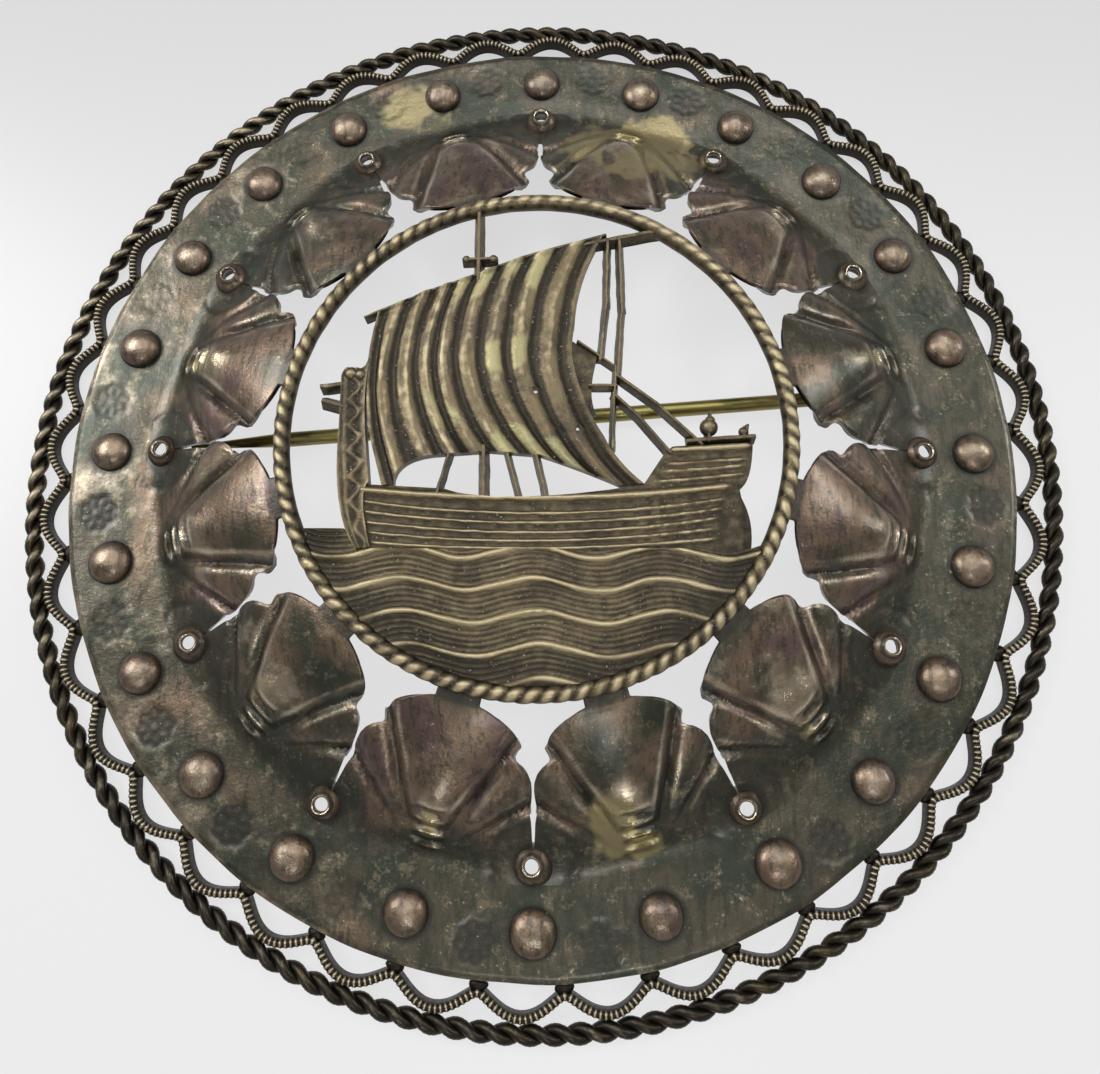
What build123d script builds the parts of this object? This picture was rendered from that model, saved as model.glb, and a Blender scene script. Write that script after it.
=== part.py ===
"""Ship brooch: a cast openwork ship in a rope ring, carried by twelve pierced and raised petals.

Millimetres, +Z up, as the brooch lies on a table: z = 0 is the table under the rope border, the origin is
the centre of the rosette, +Y is the top of the picture and the pin lies underneath.
"""
from build123d import *
import os
from math import atan2, cos, degrees, hypot, pi, radians, sin, tan

# Overall build: everything is soldered together, with this much air left between pieces
seat_gap = 0.05

# Rope border, two twisted strands of wire bent into a ring
rope_diameter = 1.3

# Disc with its bosses and pierced nipples
disc_radius = 34.3
disc_thickness = 0.5
disc_underside_height = 1.45
boss_count = 24
boss_ring_radius = 31.35
boss_diameter = 3.0
boss_height = 0.9
nipple_ring_radius = 27.4
nipple_diameter = 2.5
nipple_rim_diameter = 1.5
nipple_height = 1.25
nipple_hole_diameter = 1.0
nipple_waist_share = 0.86
nipple_waist_height_share = 0.62

# Petals, cut and raised out of the middle of the disc
petal_count = 12
petal_root_offset = 1.2
petal_neck_offset = 0.5
petal_thickness = 0.55
saw_cut_width = 0.12
straight_cut_length = 2.0
slot_width = 0.22
petal_tab_width = 2.8
petal_tab_start = 0.95

# Milled wire, waved round the edge of the disc and soldered to it
wave_count = 40
wave_wire_width = 0.58
wave_wire_height = 1.15
wave_wire_underside_height = 0.35
wave_valley_gap = 0.5
wave_valley_bend = 0.7
scallop_depth = 1.85
wave_first_peak_angle = 1.2
wave_edge_rounding = 0.2
solder_width = 1.5
solder_underside_height = 0.7
solder_thickness = 0.55

# Ship medallion
ring_radius = 16.87
ring_width = 1.1
ring_height = 1.3
ring_underside_height = 7.4
ship_back_rise = 0.15
ship_plate_thickness = 0.75
relief_height = 0.3
low_relief_height = 0.15
wave_relief_height = 0.21
fine_line_height = 0.14
spar_thickness = 0.95

# Pin and its fittings
pin_diameter = 1.1
pin_tip_diameter = 0.25
pin_taper_length = 7.0
pin_neck_length = 2.0
pin_neck_diameter = 1.0
pin_centre_height = 0.95
pin_tip_overhang = 3.55
hinge_inset = 4.3
pin_tilt = 4.68
pin_line_offset = 2.77
eye_diameter = 1.7
eye_width = 1.0
rivet_diameter = 0.6
rivet_head_diameter = 1.1
rivet_head_thickness = 0.3
running_clearance = 0.06
cutter_margin = 1.0
ear_thickness = 0.5
ear_length = 2.0
ear_rounding = 0.8
bracket_sole_height = 2.1
catch_inset = 5.7
catch_length = 2.1
catch_wall = 0.5
catch_mouth_height = 1.5
catch_inner_depth = 1.3
catch_foot_height = 2.0
catch_foot_width = 0.95
catch_side_clearance = 0.25

disc_top_height = disc_underside_height + disc_thickness
petal_top_height = ring_underside_height - seat_gap
ship_back_height = ring_underside_height + ship_back_rise
petal_tip_radius = ring_radius - ring_width / 3
petal_root_radius = nipple_ring_radius + petal_root_offset
petal_neck_radius = nipple_ring_radius + petal_neck_offset
saw_cut_end_radius = nipple_ring_radius - straight_cut_length
wave_valley_radius = disc_radius + wave_valley_gap
wave_peak_radius = wave_valley_radius + scallop_depth
rope_centre_radius = wave_peak_radius + seat_gap + rope_diameter / 2
hinge_reach = petal_neck_radius - hinge_inset
catch_reach = petal_neck_radius - catch_inset
pin_tip_reach = catch_reach + pin_tip_overhang

# One side of a petal's height, from its root in the disc to its tip under the ring.
# along: share of the petal's length; the others: shares of the petal's rise above the disc
PETAL_SECTIONS = [
    # along, rib,   inner crease, outer crease, rim
    (0.00, -0.02, -0.02, -0.02, -0.02),
    (0.20, 0.18, 0.12, 0.05, 0.02),
    (0.43, 0.50, 0.38, 0.28, 0.17),
    (0.65, 0.77, 0.65, 0.51, 0.38),
    (0.84, 0.93, 0.84, 0.72, 0.60),
    (1.00, 0.97, 0.95, 0.85, 0.75),
]
crease_swell = 0.12
crease_root_offset = 0.9
rim_allowance = 1.6
# The hidden root of a petal lies inside the disc: thinner and flatter than the rest
root_thickness_share = 0.6
root_swell_share = 0.2

# Right half of a petal's outline. inward: share of the petal's length; width: share of the petal's
# half width there, if its sides ran straight to the middle of the brooch
LOBE_MARKS = {
    # name: (inward, width)
    "upper swell": (0.36, 0.985),
    "upper notch": (0.47, 0.955),
    "middle swell": (0.635, 0.975),
    "middle notch": (0.735, 0.765),
    "lower swell": (0.845, 0.765),
    "lower end": (0.925, 0.385),
}


def along_petal(share):
    """Distance from the centre of the brooch at a share of the petal's length."""
    return petal_root_radius + share * (petal_tip_radius - petal_root_radius)


def lobe_mark(name):
    """A named point of the petal's outline, as (sideways, outwards)."""
    inward, width = LOBE_MARKS[name]
    reach = along_petal(inward)
    half_width = reach * tan(pi / petal_count) - slot_width / 2
    return (width * half_width, reach)


def closed_outline(start, *steps):
    """A face inside lines and arcs: a step of two numbers is a line's end, four are an arc's
    through point and end."""
    edges = []
    here = start
    closing = () if steps[-1][-2:] == start else (start,)
    for step in steps + closing:
        if len(step) == 2:
            edges.append(Line(here, step))
            here = step
        else:
            edges.append(ThreePointArc(here, step[:2], step[2:]))
            here = step[2:]
    return make_face(edges)


def mirrored(step):
    """The same outline point or arc on the other side of the petal."""
    return tuple(-value if index % 2 == 0 else value for index, value in enumerate(step))


def petal_outline():
    """The lobed outline of one petal, pointing outwards along +Y."""
    wedge = tan(pi / petal_count)
    root_corner = (petal_root_radius * wedge - saw_cut_width / 2, petal_root_radius)
    cut_corner = (saw_cut_end_radius * wedge - saw_cut_width / 2, saw_cut_end_radius)
    tab_top = (petal_tab_width / 2, along_petal(petal_tab_start))
    tab_end = (petal_tab_width / 2, petal_tip_radius)
    right_side = [
        root_corner,
        cut_corner,
        lobe_mark("upper swell") + lobe_mark("upper notch"),
        lobe_mark("middle swell") + lobe_mark("middle notch"),
        lobe_mark("lower swell") + lobe_mark("lower end"),
        tab_top,
        tab_end,
    ]
    corners = [step[-2:] for step in right_side]
    left_side = [mirrored(tab_end)]
    for index in range(len(right_side) - 1, 0, -1):
        end = mirrored(corners[index - 1])
        step = right_side[index]
        if len(step) == 4:
            left_side.append(mirrored(step[:2]) + end)
        else:
            left_side.append(end)
    return closed_outline(right_side[0], *right_side[1:], *left_side)


def crease_position(notch_name, reach):
    """How far from the petal's middle a crease runs: from beside the neck straight to its notch."""
    side, notch_reach = lobe_mark(notch_name)
    share = (petal_neck_radius - reach) / (petal_neck_radius - notch_reach)
    start = crease_root_offset * side / lobe_mark("upper notch")[0]
    return start + max(share, 0.0) * (side - start)


def petal_section(along, rib, inner, outer, rim):
    """One cross-section of the pressed sheet: a rib between two creases on each side."""
    reach = along_petal(along)
    rise = petal_top_height - disc_top_height
    offsets = [0.0, crease_position("middle notch", reach), crease_position("upper notch", reach)]
    offsets.append(max(offsets[2], reach * tan(pi / petal_count)) + rim_allowance)
    heights = [disc_top_height + share * rise for share in (rib, inner, outer, rim)]
    half = list(zip(offsets, heights))
    top = [(-side, height) for side, height in reversed(half[1:])] + half
    edges = []
    swell = crease_swell
    sheet = petal_thickness
    if along == 0:
        swell = crease_swell * root_swell_share
        sheet = disc_thickness * root_thickness_share
    for layer_drop in (0.0, sheet):
        for (x1, z1), (x2, z2) in zip(top, top[1:]):
            middle = ((x1 + x2) / 2, (z1 + z2) / 2 + swell - layer_drop)
            edges.append(ThreePointArc((x1, z1 - layer_drop), middle, (x2, z2 - layer_drop)))
    for x, z in (top[0], top[-1]):
        edges.append(Line((x, z), (x, z - sheet)))
    return Plane(origin=(0, reach, 0), x_dir=(1, 0, 0), z_dir=(0, -1, 0)) * make_face(edges)


def petal():
    """A pressed sheet lofted along the petal and cut to its lobed outline, pointing along +Y."""
    sheet = loft([petal_section(*row) for row in PETAL_SECTIONS], ruled=False)
    cutter = extrude(petal_outline(), amount=ring_underside_height + ring_height)
    return sheet & cutter


def all_round(piece, count, radius, first_turn=0.0):
    """Copies of a piece on a circle, evenly spaced from the top of the picture."""
    step = 360 / count
    return [Rot(0, 0, (index + first_turn) * step) * Pos(0, radius, 0) * piece for index in range(count)]


def petals_in_place():
    """The twelve petals, the first half a step from the top of the picture."""
    return all_round(petal(), petal_count, 0, first_turn=0.5)


def boss():
    """A solid half-bead soldered on the disc; its dome is part of a sphere."""
    radius = boss_diameter / 2
    sphere_radius = (radius ** 2 + boss_height ** 2) / (2 * boss_height)
    top = disc_top_height + boss_height
    shoulder_drop = sphere_radius - (sphere_radius ** 2 - radius ** 2 / 4) ** 0.5
    profile = closed_outline(
        (0, disc_top_height - disc_thickness / 2),
        (radius, disc_top_height - disc_thickness / 2),
        (radius, disc_top_height),
        (radius / 2, top - shoulder_drop, 0, top),
    )
    return revolve(Plane.XZ * profile, Axis.Z)


def nipple():
    """A pierced volcano-shaped nipple; its hole goes right through the disc."""
    foot = nipple_diameter / 2
    rim = nipple_rim_diameter / 2
    base = disc_top_height - disc_thickness / 2
    top = disc_top_height + nipple_height
    waist = disc_top_height + nipple_height * nipple_waist_height_share
    profile = closed_outline(
        (0, base),
        (foot, base),
        (foot, disc_top_height),
        (foot * nipple_waist_share, waist, rim, top),
        (0, top),
    )
    return revolve(Plane.XZ * profile, Axis.Z)


def rosette_plate():
    """The disc, its petals, bosses and nipples, soldered and pressed into one piece of metal."""
    ring = Circle(disc_radius) - Circle(petal_neck_radius)
    plate = extrude(Pos(0, 0, disc_underside_height) * ring, amount=disc_thickness)
    bore = Cylinder(nipple_hole_diameter / 2, ring_underside_height)
    pieces = petals_in_place()
    pieces += all_round(boss(), boss_count, boss_ring_radius)
    pieces += all_round(nipple(), petal_count, nipple_ring_radius)
    return plate + pieces - all_round(bore, petal_count, nipple_ring_radius)


def polar_point(radius, angle):
    """A point at a clockwise angle in degrees from the top of the picture."""
    return (radius * sin(radians(angle)), radius * cos(radians(angle)))


def wave_face(side):
    """The area inside one side of the waved wire; side is half the wire's width, or minus it."""
    half_step = 180 / wave_count
    peak = wave_peak_radius - wave_wire_width / 2
    valley = wave_valley_radius + wave_wire_width / 2
    valley_centre = valley + wave_valley_bend
    lean = valley_centre * cos(radians(half_step))
    crown = (peak ** 2 + valley_centre ** 2 - 2 * peak * lean - wave_valley_bend ** 2) / (
        2 * (peak - lean + wave_valley_bend))
    crown_centre = peak - crown
    share = (crown + side) / (crown + wave_valley_bend)
    edges = []
    for index in range(wave_count):
        angle = wave_first_peak_angle + index * 2 * half_step
        centre = polar_point(crown_centre, angle)
        ends = []
        for way in (-1, 1):
            low = polar_point(valley_centre, angle + way * half_step)
            ends.append(tuple(c + share * (v - c) for c, v in zip(centre, low)))
        edges.append(ThreePointArc(ends[0], polar_point(peak + side, angle), ends[1]))
        next_centre = polar_point(crown_centre, angle + 2 * half_step)
        low = polar_point(valley_centre, angle + half_step)
        next_end = tuple(c + share * (v - c) for c, v in zip(next_centre, low))
        edges.append(ThreePointArc(ends[1], polar_point(valley + side, angle + half_step), next_end))
    return make_face(edges)


def milled_wire():
    """The waved wire standing on edge inside the rope border, with solder at the foot of each wave."""
    band = wave_face(wave_wire_width / 2) - wave_face(-wave_wire_width / 2)
    wire = extrude(Pos(0, 0, wave_wire_underside_height) * band, amount=wave_wire_height)
    top_edges = wire.edges().group_by(Axis.Z)[-1]
    wire = fillet(top_edges, wave_edge_rounding)
    inner = disc_radius + seat_gap
    outer = wave_valley_radius + wave_wire_width / 2
    lump = Pos(0, 0, solder_underside_height) * Box(
        solder_width, outer - inner, solder_thickness, align=(Align.CENTER, Align.CENTER, Align.MIN))
    valley_turn = wave_first_peak_angle * wave_count / 360 + 0.5
    return wire + all_round(lump, wave_count, (inner + outer) / 2, first_turn=-valley_turn)


def rope_border():
    """The twisted wire border as one round ring, resting on the table."""
    return Pos(0, 0, rope_diameter / 2) * Torus(rope_centre_radius, rope_diameter / 2)


# The ship is drawn in shares of the ring's radius, seen from the front. Every outline is a start
# followed by line ends (x, y) and arcs (through x, through y, end x, end y).
SAIL_OUTLINE = [
    (-0.645, 0.490), (-0.615, 0.460), (-0.700, 0.210, -0.640, -0.060), (-0.590, -0.228),
    (-0.545, -0.228), (-0.500, -0.140, -0.355, -0.105), (-0.175, -0.092), (0.020, -0.108),
    (0.180, -0.165, 0.330, -0.228), (0.420, -0.220), (0.340, -0.140, 0.270, -0.010),
    (0.235, 0.060), (0.215, 0.160, 0.235, 0.300), (0.170, 0.365), (0.155, 0.440, 0.170, 0.520),
    (0.200, 0.660, 0.255, 0.775), (0.270, 0.830), (-0.060, 0.735), (-0.270, 0.650),
    (-0.460, 0.580),
]
HULL_OUTLINE = [
    (-0.700, -0.222), (-0.350, -0.240), (-0.060, -0.275, 0.420, -0.222), (0.505, -0.095),
    (0.535, -0.072), (0.845, -0.055), (0.825, -0.180, 0.785, -0.240), (0.790, -0.270),
    (0.820, -0.370, 0.815, -0.480), (0.000, -0.500), (-0.640, -0.500), (-0.700, -0.360),
]
SEA_TOP = [
    (-1.000, -0.395), (-0.720, -0.398), (-0.640, -0.480), (0.815, -0.470), (1.000, -0.440),
]
STEM_OUTLINE = [
    (-0.775, 0.215), (-0.770, 0.000), (-0.750, -0.290, -0.675, -0.475), (-0.620, -0.470),
    (-0.655, -0.300, -0.675, -0.215), (-0.640, -0.215), (-0.665, -0.020), (-0.672, 0.010),
    (-0.675, 0.150, -0.665, 0.275), (-0.700, 0.245), (-0.715, 0.250, -0.735, 0.245),
    (-0.760, 0.250, -0.775, 0.215),
]
PLATFORM_OUTLINE = [
    (0.600, -0.080), (0.640, -0.015), (0.835, 0.000), (0.820, -0.070),
]
YARD_OUTLINE = [
    (0.200, 0.780), (0.240, 0.815), (0.380, 0.855, 0.500, 0.880), (0.485, 0.822), (0.350, 0.785),
]

# Bars of the rigging, from end to end. width is a share of the ring's radius.
RIGGING_BARS = [
    # x1,    y1,     x2,     y2,    width
    (-0.245, 0.980, -0.240, 0.640, 0.045),
    (-0.292, 0.728, -0.180, 0.732, 0.035),
    (0.292, 0.800, 0.285, 0.540, 0.036),
    (0.285, 0.540, 0.258, 0.300, 0.034),
    (0.342, 0.805, 0.348, 0.520, 0.038),
    (0.348, 0.520, 0.328, 0.240, 0.034),
    (0.175, 0.360, 0.325, 0.250, 0.026),
    (0.318, 0.250, 0.300, -0.070, 0.028),
    (0.225, 0.178, 0.310, 0.178, 0.030),
    (0.330, 0.215, 0.480, 0.100, 0.036),
    (0.480, 0.100, 0.640, -0.055, 0.034),
    (0.318, 0.135, 0.405, 0.050, 0.036),
    (0.405, 0.050, 0.515, -0.085, 0.036),
    (-0.335, -0.100, -0.372, -0.245, 0.032),
    (-0.200, -0.090, -0.196, -0.255, 0.046),
    (-0.108, -0.095, -0.062, -0.265, 0.030),
    (0.005, -0.105, 0.042, -0.262, 0.032),
]
THIN_BARS = [
    # x1, y1, x2, y2, width
    (-0.690, 0.225, -0.672, 0.278, 0.022),
    (0.683, 0.020, 0.690, 0.066, 0.014),
]

# Round knobs. height is how far the knob stands above the ship's plate, in thicknesses of relief.
KNOBS = [
    # x,    y,     radius, height
    (-0.292, 0.728, 0.024, 0.6),
    (-0.180, 0.728, 0.026, 0.6),
    (-0.738, 0.225, 0.032, 1.2),
    (-0.700, 0.222, 0.028, 1.0),
    (-0.630, 0.490, 0.020, 0.8),
    (0.678, 0.010, 0.032, 1.0),
]
# Two pegs in front of the stem
STEM_PEGS = [
    # x1,    y1,     x2,     y2,    width
    (-0.835, 0.175, -0.770, 0.182, 0.048),
    (-0.820, 0.108, -0.770, 0.094, 0.056),
]

# Folds of the sail, each from the yard to the foot of the sail
SAIL_FOLDS = [
    # top x, top y,  middle x, middle y, foot x, foot y
    (-0.560, 0.515, -0.628, 0.150, -0.585, -0.210),
    (-0.450, 0.560, -0.545, 0.180, -0.530, -0.160),
    (-0.365, 0.595, -0.460, 0.200, -0.425, -0.110),
    (-0.290, 0.620, -0.372, 0.220, -0.325, -0.080),
    (-0.190, 0.660, -0.262, 0.240, -0.215, -0.065),
    (-0.075, 0.700, -0.135, 0.270, -0.090, -0.065),
    (0.040, 0.740, -0.032, 0.290, 0.060, -0.085),
    (0.170, 0.780, 0.085, 0.330, 0.245, -0.150),
]
sail_fold_width = 0.050

# Planks of the hull, each a thin raised line
PLANK_LINES = [
    # left x, left y, middle x, middle y, right x, right y
    (-0.672, -0.290, -0.030, -0.336, 0.728, -0.278),
    (-0.665, -0.330, -0.030, -0.372, 0.716, -0.315),
    (-0.650, -0.370, -0.030, -0.410, 0.700, -0.352),
    (-0.630, -0.412, -0.030, -0.442, 0.688, -0.392),
    (0.465, -0.212, 0.630, -0.198, 0.805, -0.180),
    (0.510, -0.142, 0.660, -0.132, 0.815, -0.120),
]
GUNWALE_LINE = (-0.688, -0.244, -0.030, -0.277, 0.750, -0.228)
plank_line_width = 0.013
gunwale_width = 0.026

# Waves: crests below one another, each a raised line of arcs
WAVE_ROWS = [
    # height, shift, first half wave, last half wave
    (-0.470, 0.000, -3, 3),
    (-0.597, 0.015, -3, 3),
    (-0.708, 0.035, -2, 2),
    (-0.820, 0.055, -2, 1),
    (-0.912, 0.020, -1, 0),
]
wave_half_length = 0.242
wave_swing = 0.024
wave_line_width = 0.024

# Small holes cast through the sail
SAIL_HOLES = [
    # x,     y,     radius
    (-0.003, 0.158, 0.012),
    (0.172, 0.000, 0.012),
]


def on_ship(step):
    """Shares of the ring's radius turned into millimetres."""
    return tuple(value * ring_radius for value in step)


def ship_area(outline):
    steps = [on_ship(step) for step in outline]
    return closed_outline(steps[0], *steps[1:])


def raised(area, thickness):
    """A flat part of the casting, from the ship's back to its own thickness."""
    return extrude(Pos(0, 0, ship_back_height) * area, amount=thickness)


def bar(x1, y1, x2, y2, width):
    """A straight bar with round ends."""
    x1, y1, x2, y2, width = on_ship((x1, y1, x2, y2, width))
    turn = degrees(atan2(y2 - y1, x2 - x1))
    length = hypot(x2 - x1, y2 - y1)
    return Pos((x1 + x2) / 2, (y1 + y2) / 2) * Rot(0, 0, turn) * SlotCenterToCenter(length, width)


def bowed_line(points, width):
    """A strip along an arc through three points, as wide as width at its middle and half at its ends."""
    x1, y1, x2, y2, x3, y3, width = on_ship(points + (width,))
    length = hypot(x3 - x1, y3 - y1)
    across = (-(y3 - y1) / length, (x3 - x1) / length)
    sides = []
    for way in (1, -1):
        thin = way * width / 4
        full = way * width / 2
        sides.append([
            (x1 + across[0] * thin, y1 + across[1] * thin),
            (x2 + across[0] * full, y2 + across[1] * full),
            (x3 + across[0] * thin, y3 + across[1] * thin),
        ])
    left, right = sides
    return closed_outline(left[0], left[1] + left[2], right[2], right[1] + right[0])


def wave_line(height, shift, first, last):
    """One crest: half waves up and down, each an arc, as a strip of even height."""
    nodes = [(shift + (index - 0.5) * wave_half_length) for index in range(first, last + 2)]
    top, bottom = [], []
    for index in range(first, last + 1):
        x1 = nodes[index - first]
        x2 = nodes[index - first + 1]
        swing = wave_swing if index % 2 == 0 else -wave_swing
        top.append(on_ship(((x1 + x2) / 2, height + swing, x2, height)))
        low = height - wave_line_width
        bottom.append(on_ship(((x1 + x2) / 2, low + swing, x1, low)))
    start = on_ship((nodes[0], height))
    corner = on_ship((nodes[-1], height - wave_line_width))
    return closed_outline(start, *top, corner, *reversed(bottom))


def ship_medallion():
    """The cast ship and its rope ring, one casting, drawn round the ring's own centre."""
    section = Pos(ring_radius, ring_underside_height + ring_height / 2) * SlotOverall(
        ring_height, ring_width, rotation=90)
    ring = revolve(Plane.XZ * section, Axis.Z)
    inside = Circle(ring_radius)
    relief_base = ship_plate_thickness
    sea = ship_area(SEA_TOP + [(1.0, -1.0), (-1.0, -1.0)]) & inside
    parts = [
        raised(ship_area(SAIL_OUTLINE), relief_base),
        raised(ship_area(HULL_OUTLINE), relief_base),
        raised(sea, relief_base),
        raised(ship_area(STEM_OUTLINE), relief_base + low_relief_height),
        raised(ship_area(PLATFORM_OUTLINE), relief_base + low_relief_height),
        raised(ship_area(YARD_OUTLINE), spar_thickness),
    ]
    for row in THIN_BARS:
        parts.append(raised(bar(*row), relief_base))
    for row in RIGGING_BARS:
        parts.append(raised(bar(*row), spar_thickness))
    for row in STEM_PEGS:
        parts.append(raised(bar(*row), spar_thickness))
    for x, y, radius, height in KNOBS:
        knob = Pos(*on_ship((x, y))) * Circle(radius * ring_radius)
        parts.append(raised(knob, relief_base + height * relief_height))
    for points in SAIL_FOLDS:
        parts.append(raised(bowed_line(points, sail_fold_width), relief_base + relief_height))
    for points in PLANK_LINES:
        parts.append(raised(bowed_line(points, plank_line_width), relief_base + fine_line_height))
    parts.append(raised(bowed_line(GUNWALE_LINE, gunwale_width), relief_base + relief_height))
    for row in WAVE_ROWS:
        parts.append(raised(wave_line(*row) & inside, relief_base + wave_relief_height))
    casting = ring + parts
    holes = []
    for x, y, radius in SAIL_HOLES:
        hole = Circle(radius * ring_radius)
        holes.append(Pos(*on_ship((x, y)), ship_back_height) * extrude(hole, amount=ring_height))
    return casting - holes


def on_pin(piece):
    """Places a fitting drawn along the pin: +X runs from the pin's tip to its hinge."""
    return Rot(0, 0, pin_tilt) * Pos(0, pin_line_offset * cos(radians(pin_tilt)), 0) * piece


def across_y(radius, length):
    """A round bar along Y, centred."""
    return Rot(90, 0, 0) * Cylinder(radius, length)


def pin_stem():
    """The brass pin: a straight wire, drawn to a point, and a little thinner where its flat eye begins."""
    profile = closed_outline(
        (-pin_tip_reach, 0),
        (-pin_tip_reach, pin_tip_diameter / 2),
        (-pin_tip_reach + pin_taper_length, pin_diameter / 2),
        (hinge_reach - pin_neck_length, pin_diameter / 2),
        (hinge_reach, pin_neck_diameter / 2),
        (hinge_reach, 0),
    )
    stem = revolve(profile, Axis.X)
    eye = Pos(hinge_reach, 0, 0) * across_y(eye_diameter / 2, eye_width)
    bore = Pos(hinge_reach, 0, 0) * across_y(rivet_diameter / 2 + running_clearance, eye_width + 2 * cutter_margin)
    return on_pin(Pos(0, 0, pin_centre_height) * (stem + eye - bore))


def hinge_rivet():
    """The rivet through the eye, with a head outside each ear."""
    ear_span = eye_width + 2 * running_clearance + 2 * ear_thickness
    shank = across_y(rivet_diameter / 2, ear_span + 2 * running_clearance)
    rivet = [shank]
    for way in (-1, 1):
        head = across_y(rivet_head_diameter / 2, rivet_head_thickness)
        offset = ear_span / 2 + running_clearance + rivet_head_thickness / 2
        rivet.append(Pos(0, way * offset, 0) * head)
    whole = rivet[0] + rivet[1:]
    return on_pin(Pos(hinge_reach, 0, pin_centre_height) * whole)


def fitted_under_petals(blank):
    """The part of a tall blank that is left below the petals, shaped to their underside."""
    lowered = [Pos(0, 0, -seat_gap) * one_petal for one_petal in petals_in_place()]
    return (blank - lowered).solids().sort_by(Axis.Z)[0]


def pin_hinge():
    """The bracket soldered under a petal: a sole with two ears, pierced for the rivet."""
    gap = eye_width + 2 * running_clearance
    span = gap + 2 * ear_thickness
    ear_bottom = pin_centre_height - eye_diameter / 2
    standing = (Align.CENTER, Align.CENTER, Align.MIN)
    block = Pos(0, 0, ear_bottom) * Box(ear_length, span, petal_top_height - ear_bottom, align=standing)
    lower_edges = block.edges().filter_by(Axis.Y).group_by(Axis.Z)[0]
    block = fillet(lower_edges, ear_rounding)
    opening = Pos(0, 0, ear_bottom) * Box(ear_length + 2 * cutter_margin, gap, bracket_sole_height - ear_bottom,
                                          align=standing)
    bore = Pos(0, 0, pin_centre_height) * across_y(rivet_diameter / 2 + running_clearance, span + 2 * cutter_margin)
    return fitted_under_petals(on_pin(Pos(hinge_reach, 0, 0) * (block - opening - bore)))


def pin_catch():
    """The plain hooked catch soldered under a petal, open towards the pin that lies beside it."""
    lip_bottom = pin_centre_height - catch_mouth_height / 2 - catch_wall / 2
    lip_end = -(pin_diameter / 2 + catch_side_clearance)
    lip_top = lip_bottom + catch_wall
    wall_inside = lip_end - catch_inner_depth
    wall_outside = wall_inside - catch_wall
    foot_end = wall_outside + catch_foot_width
    profile = closed_outline(
        (wall_outside, petal_top_height),
        (wall_outside, lip_top),
        (wall_inside, lip_bottom),
        (lip_end, lip_bottom),
        (lip_end, lip_top),
        (wall_inside + catch_wall / 2, lip_top),
        (wall_inside, lip_top + catch_wall / 2),
        (wall_inside, catch_foot_height),
        (foot_end, catch_foot_height),
        (foot_end, petal_top_height),
    )
    strip = extrude(Plane.YZ * profile, amount=catch_length / 2, both=True)
    return fitted_under_petals(on_pin(Pos(-catch_reach, 0, 0) * strip))


PIECES = {
    "rosette_plate": rosette_plate,
    "milled_wire": milled_wire,
    "rope_border": rope_border,
    "ship_medallion": ship_medallion,
    "pin_stem": pin_stem,
    "pin_hinge": pin_hinge,
    "hinge_rivet": hinge_rivet,
    "pin_catch": pin_catch,
}

os.makedirs("parts", exist_ok=True)
for node, make in PIECES.items():
    export_step(make(), f"parts/{node}.step")
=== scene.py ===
"""The ship brooch as it is seen: worn, tarnished silver on a white table top, built round its frame.

Metres, +Z up, in the frame of the solids. Sizes below are in millimetres and are turned to metres as a
shape is made.
"""
from math import atan2, cos, degrees, exp, floor, hypot, pi, radians, sin, sqrt

import bmesh
import bpy
from mathutils import Matrix, Vector, noise


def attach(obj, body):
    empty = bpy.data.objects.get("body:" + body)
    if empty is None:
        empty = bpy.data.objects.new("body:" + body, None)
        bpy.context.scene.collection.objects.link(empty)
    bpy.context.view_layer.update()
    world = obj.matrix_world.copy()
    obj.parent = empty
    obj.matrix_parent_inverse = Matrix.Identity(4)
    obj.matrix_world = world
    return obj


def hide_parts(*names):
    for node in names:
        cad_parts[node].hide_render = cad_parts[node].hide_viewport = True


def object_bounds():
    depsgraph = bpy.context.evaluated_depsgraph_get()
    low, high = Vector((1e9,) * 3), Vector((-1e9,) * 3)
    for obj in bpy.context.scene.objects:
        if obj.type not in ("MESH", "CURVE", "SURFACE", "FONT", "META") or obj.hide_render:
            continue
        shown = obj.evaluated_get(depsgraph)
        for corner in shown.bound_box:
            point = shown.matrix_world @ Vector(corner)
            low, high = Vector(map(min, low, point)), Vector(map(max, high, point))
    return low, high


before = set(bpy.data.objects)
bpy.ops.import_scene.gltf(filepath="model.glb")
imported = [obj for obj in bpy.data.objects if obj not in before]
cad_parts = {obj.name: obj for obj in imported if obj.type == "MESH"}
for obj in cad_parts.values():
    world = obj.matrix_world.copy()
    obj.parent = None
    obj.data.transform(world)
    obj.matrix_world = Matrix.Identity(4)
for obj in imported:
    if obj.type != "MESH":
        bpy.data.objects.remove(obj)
solid_low, solid_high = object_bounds()

# View, table top and light: the brooch lies face up on a white light table and is photographed from close
# above, a little from the foot of the picture. A softbox hangs overhead and windows stand round it.
scene = bpy.context.scene


def stand(name, data):
    """A new object in the scene."""
    thing = bpy.data.objects.new(name, data)
    scene.collection.objects.link(thing)
    return thing


view = bpy.data.cameras.new("close_view")
view.lens = 29.45
view.shift_x = 0.0045
view.shift_y = -0.0973
view.clip_start = 0.002
camera = stand("close_view", view)
camera.location = (0.00200, -0.01659, 0.06531)
camera.rotation_mode = "QUATERNION"
camera.rotation_quaternion = Matrix((
    (0.99974, -0.00148, 0.02258),
    (0.00770, 0.96062, -0.27776),
    (-0.02128, 0.27786, 0.96038),
)).to_quaternion()
scene.camera = camera
scene.view_settings.view_transform = "Standard"


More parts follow.
